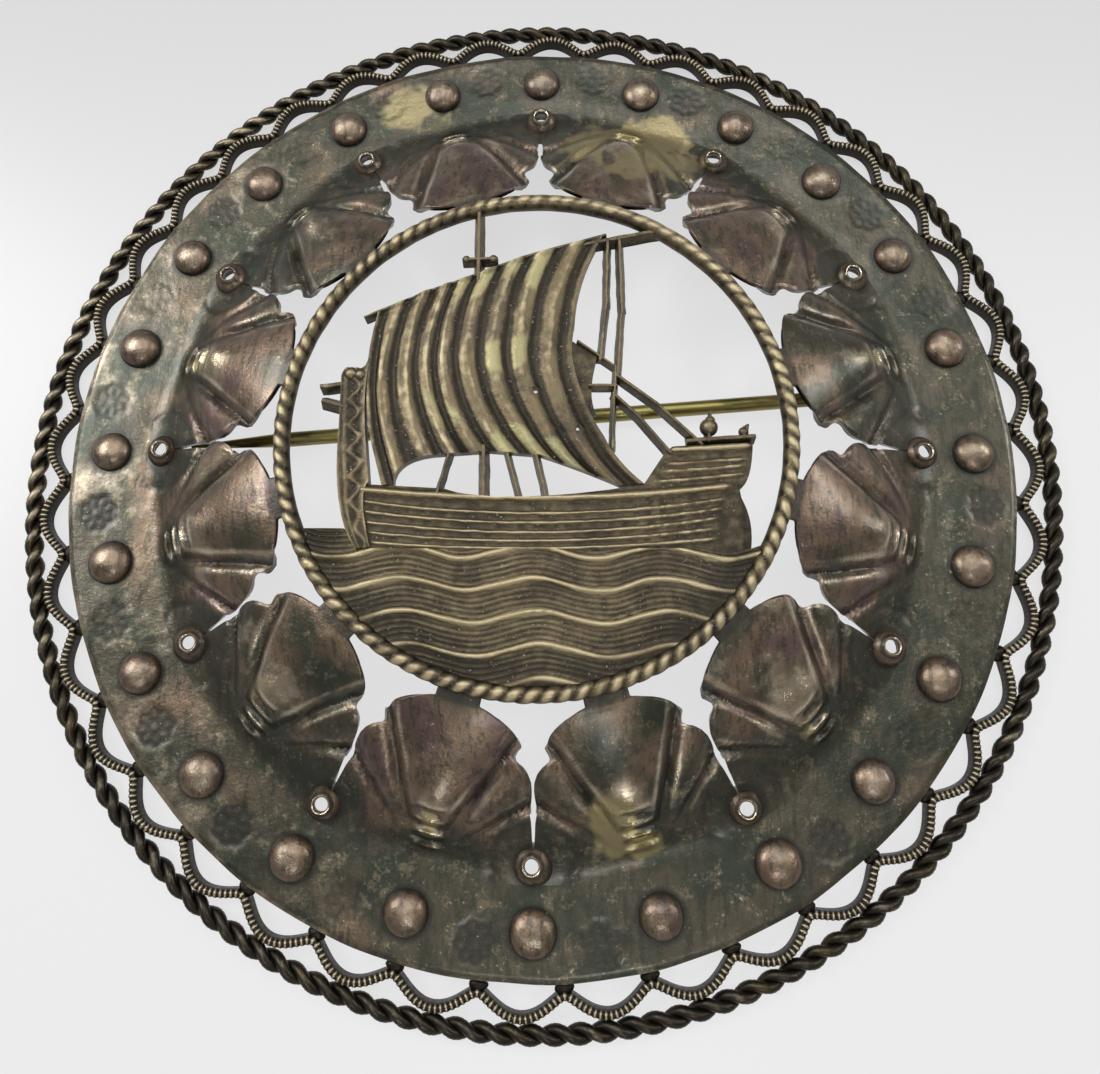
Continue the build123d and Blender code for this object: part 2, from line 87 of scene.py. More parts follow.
def linear(hex_colour):
    """An sRGB hex colour as the linear colour that a shader takes."""
    channels = [int(hex_colour[at:at + 2], 16) / 255 for at in (1, 3, 5)]
    return (*[c / 12.92 if c <= 0.04045 else ((c + 0.055) / 1.055) ** 2.4 for c in channels], 1)


def add(tree, kind, settings, inputs):
    """Adds a node with its settings; each input takes a value, or the socket that feeds it."""
    made = tree.nodes.new(kind)
    for name, value in settings.items():
        setattr(made, name, value)
    for name, value in inputs.items():
        if isinstance(value, bpy.types.NodeSocket):
            tree.links.new(value, made.inputs[name])
        else:
            made.inputs[name].default_value = value
    return made


def start_finish(name):
    """A new material with its tree and shader, and the place that its patterns read."""
    finish = bpy.data.materials.new(name)
    finish.use_nodes = True
    tree = finish.node_tree
    where = add(tree, "ShaderNodeTexCoord", {}, {}).outputs["Object"]
    return finish, tree, tree.nodes["Principled BSDF"], where


table_shape = bmesh.new()
bmesh.ops.create_grid(table_shape, x_segments=1, y_segments=1, size=0.6,
                      matrix=Matrix.Translation((0, 0, solid_low[2])))
table_mesh = bpy.data.meshes.new("table_top")
table_shape.to_mesh(table_mesh)
table_top = stand("table_top", table_mesh)

# Opal acrylic, lit from below: even and bright, with a soft grey shading and a faint sheen
opal_acrylic, tree, shader, where = start_finish("opal_acrylic")
up_the_table = add(tree, "ShaderNodeSeparateXYZ", {}, {"Vector": where}).outputs["Y"]
shading = add(tree, "ShaderNodeMapRange", {"interpolation_type": "SMOOTHSTEP"},
              {0: up_the_table, 1: 0.000, 2: 0.050, 3: 0.0, 4: 1.0}).outputs[0]
toned = add(tree, "ShaderNodeMix", {"data_type": "RGBA"},
            {0: shading, 6: linear("#f4f4f5"), 7: linear("#dcdcdc")}).outputs[2]
tree.links.new(toned, shader.inputs["Emission Color"])
shader.inputs["Emission Strength"].default_value = 0.78
shader.inputs["Base Color"].default_value = linear("#5c5c5c")
shader.inputs["Roughness"].default_value = 0.30
shader.inputs["Specular IOR Level"].default_value = 0.15
table_mesh.materials.append(opal_acrylic)

LAMPS = [
    # name, place in metres, width, watts
    ("overhead_softbox", (0.02, 0.14, 0.36), 0.26, 0.65),
    ("left_window", (-0.27, 0.12, 0.27), 0.14, 0.80),
    ("right_window", (0.31, 0.09, 0.22), 0.07, 0.30),
    ("front_window", (0.02, -0.24, 0.32), 0.08, 0.24),
]
for name, place, width, watts in LAMPS:
    lamp = bpy.data.lights.new(name, "AREA")
    lamp.size = width
    lamp.energy = watts
    softbox = stand(name, lamp)
    softbox.location = place
    softbox.rotation_euler = (-Vector(place)).to_track_quat("-Z", "Y").to_euler()
room = bpy.data.worlds.new("white_room")
room.use_nodes = True
room.node_tree.nodes["Background"].inputs["Color"].default_value = linear("#f2efe9")
room.node_tree.nodes["Background"].inputs["Strength"].default_value = 0.40
scene.world = room

# Disc: the outer part of the silver sheet, flat, with a stamped flower between every two bosses. The
# sheet is beaten, so it isn't quite even, and its edge is filed by eye.
MM = 0.001
sheet_top = 1.95
disc_sheet_thickness = 0.5
disc_edge_radius = 34.3
petal_root_radius = 28.6
boss_count = 24
petal_count = 12
boss_circle_radius = 31.35
nipple_circle_radius = 27.4
flower_circle_radius = 32.1
flower_radius = 1.42
flower_depth = 0.085
beaten_height = 0.075
hammered_height = 0.022
edge_rounding = 0.14
hollow_radius = 2.75
hollow_width = 0.38
MARKS = ("wear_and_highlight", "grime_and_shade", "warm", "pale")


def clamped(value):
    return min(1.0, max(0.0, value))


def soft_step(low, high, value):
    """0 below low, 1 above high, and a smooth rise between them."""
    share = clamped((value - low) / (high - low))
    return share * share * (3 - 2 * share)


def hump(value, middle=0.0, half_width=1.0):
    """1 at the middle, and a smooth fall to 0 on both sides."""
    return exp(-((value - middle) / half_width) ** 2)


def around(angle, radius):
    """A point at a clockwise angle in degrees from the top of the picture."""
    return radius * sin(radians(angle)), radius * cos(radians(angle))


def cloud(x, y, size, seed=0.0):
    """Smooth unevenness from -1 to 1; size is that of its lumps."""
    return noise.noise(Vector((x / size, y / size, seed)))


def blank():
    """An empty shape whose points can carry marks for the finish."""
    shape = bmesh.new()
    for name in MARKS:
        shape.verts.layers.float.new(name)
    return shape


def mark(shape, point, wear_and_highlight=0.0, grime_and_shade=0.0, warm=0.0, pale=0.0):
    """Writes a point's marks: rubbed bright with painted highlights, dirty with painted shade, purple-brown
    and pale.
    """
    for name, value in zip(MARKS, (wear_and_highlight, grime_and_shade, warm, pale)):
        point[shape.verts.layers.float[name]] = value


def lay_sheet(shape, columns, rows, place):
    """Adds a sheet of points; place gives a point and its marks for shares across and up."""
    for point in bmesh.ops.create_grid(shape, x_segments=columns, y_segments=rows, size=0.5)["verts"]:
        spot, marks = place(point.co.x + 0.5, point.co.y + 0.5)
        point.co = Vector(spot)
        mark(shape, point, **marks)


def thicken(shape, thickness):
    """Gives an open sheet that faces up a wall below it."""
    bmesh.ops.remove_doubles(shape, verts=shape.verts, dist=0.0005)
    shape.normal_update()
    if sum(face.normal.z * face.calc_area() for face in shape.faces) < 0:
        bmesh.ops.reverse_faces(shape, faces=shape.faces)
    bmesh.ops.solidify(shape, geom=shape.faces, thickness=thickness)


def close_up(shape, gap):
    """Merges the points where a shape meets itself and turns its faces outwards."""
    bmesh.ops.remove_doubles(shape, verts=shape.verts, dist=gap)
    bmesh.ops.recalc_face_normals(shape, faces=shape.faces)


def mount(name, shape, finish, slot, *nodes):
    """Makes a finished piece of the brooch from its shape, in the place of its solids."""
    bmesh.ops.scale(shape, vec=(MM, MM, MM), verts=shape.verts)
    mesh = bpy.data.meshes.new(name)
    shape.to_mesh(mesh)
    shape.free()
    mesh.materials.append(finish)
    mesh.shade_smooth()
    mesh.set_sharp_from_angle(angle=radians(55))
    piece = stand(name, mesh)
    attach(piece, "brooch")
    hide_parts(*nodes)


# Pale patches where the tarnish has lifted, and one brown island in the largest
PATCHES = [
    # clockwise angle, radius, half width, half length, strength
    (14.0, 24.4, 4.4, 3.6, 1.00),
    (20.0, 27.8, 3.0, 2.4, 0.80),
    (26.0, 25.0, 1.6, 2.6, 0.55),
    (14.5, 24.6, 1.1, 1.5, -2.40),
    (13.5, 22.9, 0.6, 1.2, -1.60),
    (340.0, 31.2, 2.9, 2.0, 0.75),
    (343.0, 28.6, 1.6, 1.2, 0.35),
    (168.5, 25.2, 1.5, 2.3, 0.95),
    (165.0, 26.9, 1.7, 1.0, 0.70),
    (195.0, 25.3, 0.8, 1.3, 0.55),
    (284.0, 25.0, 1.2, 2.2, 0.55),
    (227.0, 24.4, 1.0, 1.2, 0.45),
    (75.0, 24.6, 0.8, 1.5, 0.50),
    (137.0, 25.9, 0.7, 1.4, 0.50),
    (316.0, 24.8, 0.9, 1.4, 0.35),
]


def pale_at(x, y):
    """How far the tarnish has lifted at a point of the sheet."""
    angle, radius = degrees(atan2(x, y)), hypot(x, y)
    pale = 0.0
    for centre, reach, half_width, half_length, strength in PATCHES:
        off = (angle - centre + 180) % 360 - 180
        far = hypot(radians(off) * radius / half_width, (radius - reach) / half_length)
        if far < 2.0:
            ragged = far + 0.35 * cloud(x, y, 1.6, 3.0) + 0.20 * cloud(x, y, 0.6, 7.0)
            pale += strength * soft_step(1.30, 0.55, ragged)
    return max(0.0, pale)


def from_nearest(x, y, count, circle):
    """Distance from the nearest of the bosses or nipples."""
    step = 360 / count
    cx, cy = around(round(degrees(atan2(x, y)) / step) * step, circle)
    return hypot(x - cx, y - cy)


def foot_shade(x, y, count, circle, foot):
    """Dirt and painted shade in the ring round the foot of the nearest of the bosses or nipples."""
    far = from_nearest(x, y, count, circle) - foot
    return hump(far, 0.0, 0.42) if far > 0 else 1.0


def flower_at(x, y):
    """Depth and dirt of the stamped flowers: a centre and eight short petals in a sunk rosette."""
    angle, step = degrees(atan2(x, y)) % 360, 360 / boss_count
    index = floor(angle / step)
    cx, cy = around((index + 0.5) * step + 0.8 * sin(index * 5.1), flower_circle_radius)
    far, turn = hypot(x - cx, y - cy), atan2(y - cy, x - cx)
    if far > flower_radius * 1.3:
        return 0.0, 0.0
    clear = 0.62 + 0.30 * soft_step(80, 20, abs(angle - 235)) + 0.2 * sin(index * 2.3)
    lobed = flower_radius * (0.86 + 0.14 * abs(cos(4 * turn + index)))
    inside = soft_step(lobed + 0.20, lobed - 0.20, far + 0.12 * cloud(x, y, 0.5, 6.0))
    petals = 0.5 + 0.5 * cos(8 * turn + 2 * index)
    raised = 0.55 * petals * hump(far, 0.85, 0.33) + 0.6 * hump(far, 0.0, 0.28)
    return clear * inside * (raised - 1.0) * flower_depth, clear * inside * (0.95 - 0.5 * raised)


def flat_marks(x, y):
    """Wear and warmth of the sheet where it is flat, both higher towards its left side."""
    left = soft_step(5, -25, x)
    wear_and_highlight = 0.06 + 0.34 * cloud(x, y, 3.5, 9.0) + 0.40 * left
    return wear_and_highlight, 0.14 + 0.80 * cloud(x, y, 5.0, 4.0) + 0.24 * left


def hollow_at(x, y):
    """How far a point is in the dark ring that the punch left round each nipple."""
    far = from_nearest(x, y, petal_count, nipple_circle_radius) + 0.25 * cloud(x, y, 1.2, 11.0)
    return hump(far, hollow_radius, hollow_width)


def disc_place(u, v):
    angle = u * 360
    edge = disc_edge_radius + 0.09 * cloud(*around(angle, 9.0), 1.0, 2.0) - 0.05
    radius = petal_root_radius + v * (edge - petal_root_radius)
    x, y = around(angle, radius)
    depth, dirt = flower_at(x, y)
    beaten = beaten_height * cloud(x, y, 4.5, 1.0) + hammered_height * cloud(x, y, 1.3, 5.0)
    bevel = edge_rounding * soft_step(0.93, 1.0, v)
    inner = soft_step(0.0, 0.25, v)
    # Round the feet of the bosses and nipples the sheet is darker: dirt and painted shade
    grime_and_shade = max(dirt, 0.9 * foot_shade(x, y, boss_count, boss_circle_radius, 1.45),
                0.95 * foot_shade(x, y, petal_count, nipple_circle_radius, 1.15),
                0.55 * hollow_at(x, y) * soft_step(30.4, 28.8, radius))
    wear_and_highlight, warm = flat_marks(x, y)
    wear_and_highlight += 0.25 * soft_step(0.92, 0.97, v)
    spot = (x, y, sheet_top + beaten * inner + depth - bevel)
    return spot, {"wear_and_highlight": wear_and_highlight, "grime_and_shade": grime_and_shade, "warm": warm, "pale": pale_at(x, y)}


# Hand-raised 830 silver sheet, never polished back: grey-olive tarnish in clouds, purple-brown bloom on
# the petals, grime in every corner and rubbed metal on what stands up, with painted shade round the feet of
# the bosses and nipples and under the ship's ring, and painted highlights beside the petals' creases. Its
# clouds are about 4 mm across, its blotches about 1 mm and its grit about a quarter of that.
def masked(tree, value, pattern, spread, low, high, most):
    """A mask from a pattern or from the marks of a name, with its edge broken up by another pattern."""
    if isinstance(value, str):
        value = add(tree, "ShaderNodeAttribute", {"attribute_name": value}, {}).outputs["Fac"]
    broken = add(tree, "ShaderNodeMath", {"operation": "MULTIPLY_ADD"},
                 {0: pattern, 1: spread, 2: value}).outputs[0]
    return add(tree, "ShaderNodeMapRange", {"interpolation_type": "SMOOTHSTEP"},
               {0: broken, 1: low + spread / 2, 2: high + spread / 2, 3: 0.0, 4: most}).outputs[0]


def coat(tree, colour, layers):
    """Lays colours over one another, each through a mask or through what makes one."""
    for over, *mask in layers:
        through = masked(tree, *mask) if len(mask) > 1 else mask[0]
        colour = add(tree, "ShaderNodeMix", {"data_type": "RGBA"},
                     {0: through, 6: colour, 7: linear(over)}).outputs[2]
    return colour


def surface(tree, shader, skin, pattern, smoothest, roughest, relief, strength, depth):
    """Gives a metal its skin, a roughness that follows a pattern, and a relief; depth is in metres."""
    tree.links.new(skin, shader.inputs["Base Color"])
    rough = add(tree, "ShaderNodeMapRange", {},
                {0: pattern, 1: 0.3, 2: 0.7, 3: smoothest, 4: roughest}).outputs[0]
    tree.links.new(rough, shader.inputs["Roughness"])
    bumped = add(tree, "ShaderNodeBump", {}, {"Strength": strength, "Distance": depth, "Height": relief})
    tree.links.new(bumped.outputs[0], shader.inputs["Normal"])
    return rough


silver_sheet, tree, shader, where = start_finish("tarnished_silver_sheet")
PATTERNS = [
    # scale, detail, roughness, distortion
    (230.0, 5.0, 0.62, 0.6),
    (850.0, 5.0, 0.65, 0.0),
    (4200.0, 3.0, 0.70, 0.0),
    (410.0, 4.0, 0.60, 1.2),
]
clouds, blotches, grit, blooms = (
    add(tree, "ShaderNodeTexNoise", {}, {"Vector": where, "Scale": scale, "Detail": detail,
                                         "Roughness": roughness, "Distortion": distortion}).outputs[0]
    for scale, detail, roughness, distortion in PATTERNS)
drawn = add(tree, "ShaderNodeMapping", {}, {"Vector": where, "Scale": (1.0, 0.22, 1.0)}).outputs[0]
brushed = add(tree, "ShaderNodeTexNoise", {},
              {"Vector": drawn, "Scale": 2400.0, "Detail": 4.0, "Roughness": 0.65}).outputs[0]
grime_and_shade = masked(tree, "grime_and_shade", grit, 0.5, 0.30, 0.95, 0.92)
wear_and_highlight = masked(tree, "wear_and_highlight", blotches, 0.9, 0.42, 1.05, 0.9)
skin = coat(tree, linear("#504b40"), [
    # colour, value, pattern, spread, low, high, most
    ("#343b32", clouds, blotches, 0.60, 0.40, 0.60, 0.92),
    ("#7a6f5b", blotches, grit, 0.5, 0.51, 0.66, 0.58),
    ("#7e6a58", "warm", clouds, 1.1, 0.42, 0.95, 0.88),
    ("#56454a", "warm", blooms, 1.6, 0.80, 1.20, 0.65),
    ("#343930", brushed, grit, 0.4, 0.48, 0.64, 0.65),
    # Rubbed silver, and the painted highlights beside the petals' creases
    ("#b8aa94", wear_and_highlight),
    # Grime, and painted shade round the feet of the bosses and nipples and under the ship's ring
    ("#22221c", grime_and_shade),
    ("#9c9069", "pale", blotches, 0.50, 0.20, 0.85, 0.88),
    ("#c9c2b2", grit, blotches, 0.5, 0.68, 0.74, 0.50),
])
dull = add(tree, "ShaderNodeMapRange", {}, {0: grime_and_shade, 1: 0.0, 2: 1.0, 3: 0.94, 4: 0.55}).outputs[0]
tree.links.new(dull, shader.inputs["Metallic"])
pitted = add(tree, "ShaderNodeMath", {"operation": "MULTIPLY_ADD"}, {0: blotches, 1: 1.6, 2: grit}).outputs[0]
rough = surface(tree, shader, skin, blotches, 0.30, 0.48, pitted, 0.55, 0.00006)
# What is rubbed bright is rubbed smooth too, and so are the painted highlights beside the petals' creases
rubbed = add(tree, "ShaderNodeMath", {"operation": "MULTIPLY_ADD"}, {0: wear_and_highlight, 1: -0.22, 2: rough})
tree.links.new(rubbed.outputs[0], shader.inputs["Roughness"])
shader.inputs["Coat Weight"].default_value = 0.4
shader.inputs["Coat Roughness"].default_value = 0.26

disc_sheet = blank()
lay_sheet(disc_sheet, 1080, 34, disc_place)
thicken(disc_sheet, disc_sheet_thickness)
# The back was never handled, so it is evenly dull
for point in disc_sheet.verts:
    if point.co.z < sheet_top - 0.6 * disc_sheet_thickness:
        mark(disc_sheet, point, grime_and_shade=0.30, warm=0.25 + 0.6 * cloud(point.co.x, point.co.y, 5.0, 4.0))
mount("disc_sheet", disc_sheet, silver_sheet, "tarnished_silver_plate", "rosette_plate")

# Petals: twelve lobed leaves of the same sheet, sawn apart as far as the nipples and raised into a dome
# that carries the ship's ring on their tips. Flutes fan out from three chisel dents at each neck.
petal_half_angle = 180 / petal_count
petal_sheet_thickness = 0.5
petal_rise = 5.4
petal_length = 12.1
petal_spread = 0.268
slot_end_radius = 26.15
rim_margin = 1.6
flute_swell = 0.50
crease_cut = 0.28
crease_half_width = 0.38
crease_start = 27.9
CREASES = [
    # off the petal's middle at the start, distance from the centre and off the middle at the end
    (0.62, 19.7, 3.96),
    (0.90, 22.9, 5.76),
]
knuckle_rise = 0.42
# Distance from the centre, half length and half width of the knuckle, and of its rubbed patch
KNUCKLE = (24.4, 1.2, 1.5)
KNUCKLE_RUB = (24.2, 1.3, 1.7)
dent_depth = 0.50
full_dent = 0.30
lip_rise = 0.14
hollow_depth = 0.10
NECK_DENTS = [
    # distance from the centre, half width, half length, depth
    (26.75, 1.25, 0.30, 0.26),
    (25.85, 1.35, 0.33, 0.32),
    (24.95, 1.15, 0.30, 0.30),
]
PETAL_EDGE = [
    # distance from the centre, half angle
    (17.05, 4.75), (17.98, 4.60), (18.05, 5.60), (18.20, 6.90), (18.42, 8.50), (18.70, 9.90),
    (18.95, 10.85), (19.25, 11.70), (19.60, 12.25), (20.07, 12.40), (20.38, 12.00), (20.60, 11.60),
    (20.85, 12.15), (21.20, 13.40), (21.60, 14.25), (22.10, 14.75), (22.70, 14.85), (23.30, 14.75),
    (23.72, 14.50), (23.95, 14.30), (24.20, 14.55), (24.70, 14.72), (25.40, 14.78), (26.15, 14.86),
]
PETAL_ROWS = [
    # share of the rows, distance from the centre
    (0.00, 17.05), (0.05, 17.95), (0.22, 19.10), (0.42, 21.60), (0.68, 25.80), (1.00, 28.60),
]
PETAL_SECTIONS = [
    # along, rib, inner crease, outer crease, rim: shares of the petal's rise
    (0.00, 0.00, 0.00, 0.00, 0.00),
    (0.10, 0.07, 0.05, 0.02, 0.01),
    (0.20, 0.22, 0.13, 0.06, 0.02),
    (0.33, 0.46, 0.29, 0.18, 0.10),
    (0.43, 0.58, 0.41, 0.29, 0.18),
    (0.65, 0.79, 0.66, 0.51, 0.38),
    (0.84, 0.93, 0.84, 0.72, 0.60),
    (1.00, 0.97, 0.95, 0.85, 0.75),
]


def between(rows, value, column=1):
    """Reads a table between its rows."""
    for low, high in zip(rows, rows[1:]):
        if value <= high[0]:
            share = clamped((value - low[0]) / (high[0] - low[0]))
            return low[column] + share * (high[column] - low[column])
    return rows[-1][column]


def section_height(along, column):
    """Smooth height of the rib, a crease or the rim, as a share of the rise."""
    spread = 0.04
    return sum(between(PETAL_SECTIONS, along + way * spread, column) for way in (-1, 0, 1)) / 3


def knuckle_at(side, reach, place, half_length, half_width):
    """How far a point is on the knuckle that the neck's dents leave at their inner end."""
    return exp(-((reach - place) / half_length) ** 2 - (side / half_width) ** 2)


def petal_form(side, reach):
    """Height of the raised sheet, and how far it is in a crease, in the painted highlight beside a crease and
    up a flute.
    """
    along = (petal_root_radius - reach) / petal_length
    inner, outer = (near + max((crease_start - reach) / (crease_start - end), 0.0) * (wide - near)
                    for near, end, wide in CREASES)
    rim = max(outer, reach * petal_spread) + rim_margin
    stations = [(0.0, 1), (inner, 2), (outer, 3), (rim, 4)]
    far = abs(side)
    for (start, low), (end, high) in zip(stations, stations[1:]):
        if far <= end or end == rim:
            share = clamped((far - start) / (end - start))
            fall = share * share if start == 0.0 else share
            level = section_height(along, low) * (1 - fall) + section_height(along, high) * fall
            arch = 4 * share * (1 - share)
            break
    top, foot = section_height(along, 1), section_height(along, 4)
    domed = foot + (top - foot) * max(0.0, 1 - (far / rim) ** 2)
    level = (level + 0.55 * (domed - level)) * soft_step(-0.02, 0.16, along)
    growth = soft_step(0.12, 0.50, along)
    if start == 0.0:
        arch = sqrt(max(0.0, 1 - share ** 2))
    beside = min(abs(far - inner), abs(far - outer))
    crease = hump(beside, 0.0, crease_half_width) * growth
    # Painted highlight: a thin bright line beside each crease, on the flute's shoulder
    crease_highlight = hump(beside, 0.66, 0.20) * growth
    knuckle = knuckle_rise * knuckle_at(side, reach, *KNUCKLE)
    height = level * petal_rise + flute_swell * growth * arch - crease_cut * crease + knuckle
    return height, crease, crease_highlight, arch * growth


def petal_place(index):
    """The place of one petal's points; each petal is beaten a little differently."""
    middle = (index + 0.5) * 360 / petal_count
    lean = 0.10 * sin(index * 3.7)

    def place(u, v):
        radius = between(PETAL_ROWS, v)
        half = between(PETAL_EDGE, radius)
        if radius > slot_end_radius:
            # Past the slot the petals meet, and make way for the nipple
            bite = max(0.0, 1.0 - (radius - nipple_circle_radius) ** 2)
            half = petal_half_angle - max(degrees(sqrt(bite) / radius), 0.13 * soft_step(26.8, 26.1, radius))
        half -= 0.12 * abs(cloud(radius, index * 7.0 + (u > 0.5), 1.4)) * soft_step(26.0, 24.0, radius)
        turn = radians((2 * u - 1) * half)
        side, reach = radius * sin(turn), radius * cos(turn)
        x, y = around(middle + degrees(turn), radius)
        bend = side + lean * (28.0 - reach) / 4 + 0.16 * cloud(x, y, 3.0, 6.0)
        height, crease, crease_highlight, crest = petal_form(bend, reach)
        along = (petal_root_radius - reach) / petal_length
        raised = soft_step(0.02, 0.25, along)
        dent = lip = 0.0
        for far, half_width, half_length, depth in NECK_DENTS:
            across = side / half_width
            down = (reach - far + 0.10 * across ** 2) / half_length
            lens = max(0.0, 1 - across ** 2)
            dent = max(dent, lens * exp(-down ** 2 * 1.6) * depth / full_dent)
            lip = max(lip, lens * hump(abs(down), 1.35, 0.4))
        beaten = (0.07 * cloud(x, y, 3.4, 1.5) + 0.02 * cloud(x, y, 1.1, 5.5)) * raised
        z = sheet_top + height + beaten - dent_depth * dent + lip_rise * lip
        rim = soft_step(0.93, 1.0, abs(2 * u - 1)) * soft_step(26.0, 24.5, radius)
        from_nipple = hypot(abs(turn) * radius - radius * radians(petal_half_angle),
                            radius - nipple_circle_radius)
        low_side = soft_step(3.2, 2.2, from_nipple)
        z += 0.16 * soft_step(1.8, 3.4, from_nipple) * soft_step(0.06, 0.30, along) - 0.12 * rim
        fold = hollow_at(x, y)
        z -= hollow_depth * fold * soft_step(0.02, 0.10, along)
        # Round the nipples' feet: dirt and painted shade, as on the disc
        grime_and_shade = max(dent, 0.80 * crease, 0.65 * rim, 0.50 * low_side, 0.75 * fold,
                    0.9 * foot_shade(x, y, petal_count, nipple_circle_radius, 1.25))
        # Rubbed bright on crests, lips and knuckle, with the painted highlight beside the creases added in
        wear_and_highlight = 0.02 + 0.34 * crest + 1.1 * lip + 0.55 * crease_highlight - 0.2 * low_side + 0.45 * cloud(x, y, 2.4, 9.0)
        wear_and_highlight += 0.50 * knuckle_at(side, reach, *KNUCKLE_RUB)
        wear_and_highlight += 0.08 * sin(index * 1.7 + 1)
        warm = 0.20 + 0.55 * soft_step(0.10, 0.35, along) * (1 - low_side) + 0.70 * cloud(x, y, 3.0, 4.0)
        warm += 0.22 * sin(index * 2.4)
        # Near its root the petal is still the flat sheet of the disc
        flat_wear, flat_warm = flat_marks(x, y)
        wear_and_highlight += (flat_wear - wear_and_highlight) * soft_step(0.16, 0.0, along)
        warm += (flat_warm - warm) * soft_step(0.22, 0.0, along)
        # Painted shadow: the petals' tips are darkened where they run in under the ship's ring
        ring_shadow_on_tip = soft_step(18.4, 17.9, radius)
        wear_and_highlight -= 0.6 * ring_shadow_on_tip
        grime_and_shade = max(grime_and_shade, 0.75 * ring_shadow_on_tip)
        return (x, y, z), {"wear_and_highlight": wear_and_highlight, "grime_and_shade": grime_and_shade, "warm": warm, "pale": pale_at(x, y)}

    return place


for index in range(petal_count):
    petal = blank()
    lay_sheet(petal, 84, 64, petal_place(index))
    thicken(petal, petal_sheet_thickness)
    mount(f"petal_{index + 1}", petal, silver_sheet, "tarnished_silver_plate", "rosette_plate")

# Bosses: twenty-four half-beads of solid silver soldered on a circle, rubbed bright on top, with dirt
# packed round each foot and painted shade there too.
boss_radius = 1.5
boss_rise = 0.92


def turn_up(shape, profile, steps, centre, lean=(0.0, 0.0)):
    """Turns a profile of radius, height, wear, and grime with painted shade round an upright axis at a
    centre.
    """
    points = []
    for radius, height, wear_and_highlight, grime_and_shade in profile:
        point = shape.verts.new((radius, 0, height))
        mark(shape, point, wear_and_highlight=wear_and_highlight, grime_and_shade=grime_and_shade, warm=0.85)
        points.append(point)
    edges = [shape.edges.new(pair) for pair in zip(points, points[1:])]
    before = set(shape.verts) - set(points)
    bmesh.ops.spin(shape, geom=points + edges, cent=(0, 0, 0), axis=(0, 0, 1), dvec=(0, 0, 0),
                   angle=2 * pi, steps=steps, use_merge=True)
    for point in shape.verts:
        if point not in before:
            lift = point.co.z - sheet_top
            point.co.x += centre[0] + lean[0] * lift
            point.co.y += centre[1] + lean[1] * lift


bosses = blank()
for index in range(boss_count):
    wide = boss_radius * (1 + 0.035 * sin(index * 2.7))
    high = boss_rise * (1 + 0.06 * sin(index * 4.1))
    # Each boss is darkest at its foot, with dirt and painted shade, and rubbed bright towards its top
    profile = [(0.0, sheet_top - 0.2, 0.0, 0.0), (wide, sheet_top - 0.2, 0.0, 1.0)]
    for step in range(13):
        share = step / 12
        radius = wide * cos(share * pi / 2) ** 0.92
        rise = high * sin(share * pi / 2)
        profile.append((radius if step < 12 else 0.0, sheet_top + rise, 0.10 + 0.6 * share, 1 - 1.8 * share))
    turn_up(bosses, profile, 36, around(index * 360 / boss_count, boss_circle_radius))
close_up(bosses, 0.002)
for point in bosses.verts:
    dented = 0.035 * cloud(point.co.x, point.co.y, 0.9, point.co.z)
    point.co += Vector((dented, -dented, dented)) * soft_step(0.1, 0.4, point.co.z - sheet_top)
mount("bosses", bosses, silver_sheet, "tarnished_silver_plate", "rosette_plate")

# Nipples: twelve little pierced cones raised where the saw cuts end, each hole left with a bright rim.
# The cut was started from the hole.
nipple_radius = 1.27
nipple_rise = 1.25
NIPPLE_OUTSIDE = [
    # share of the radius, share of the rise, wear, grime with painted shade
    (1.00, 0.00, 0.00, 1.00),
    (0.98, 0.16, 0.00, 0.75),
    (0.95, 0.34, 0.00, 0.60),
    (0.88, 0.52, 0.10, 0.40),
    (0.78, 0.67, 0.15, 0.40),
    (0.66, 0.77, 0.10, 0.60),
]
NIPPLE_INSIDE = [
    # radius, share of the rise, wear, grime with painted shade
    (0.72, 0.83, 0.10, 0.85),
    (0.64, 0.93, 0.70, 0.20),
    (0.58, 1.00, 1.30, 0.00),
    (0.51, 0.98, 1.30, 0.00),
    (0.45, 0.90, 0.40, 0.50),
    (0.44, 0.70, 0.10, 0.90),
    (0.70, 0.40, 0.00, 1.00),
    (0.97, 0.00, 0.00, 0.80),
]
nipples = blank()
for index in range(petal_count):
    wide = nipple_radius * (1 + 0.05 * sin(index * 3.3))
    high = nipple_rise * (1 + 0.07 * sin(index * 2.1))
    profile = [(1.02, sheet_top - 0.5, 0.0, 0.8), (wide, sheet_top - 0.5, 0.0, 1.0)]
    profile += [(wide * share, sheet_top + high * up, *marks) for share, up, *marks in NIPPLE_OUTSIDE]
    profile += [(radius, sheet_top + high * up, *marks) for radius, up, *marks in NIPPLE_INSIDE]
    profile.append(profile[0])
    lean = (0.10 * sin(index * 5.0), 0.10 * cos(index * 3.0))
    turn_up(nipples, profile, 32, around(index * 360 / petal_count, nipple_circle_radius), lean)
close_up(nipples, 0.002)
for point in nipples.verts:
    crushed = 0.05 * cloud(point.co.x, point.co.y, 0.8, 2.0)
    point.co += Vector((crushed, -crushed, crushed)) * soft_step(0.3, 0.9, point.co.z - sheet_top)
mount("nipples", nipples, silver_sheet, "tarnished_silver_plate", "rosette_plate")

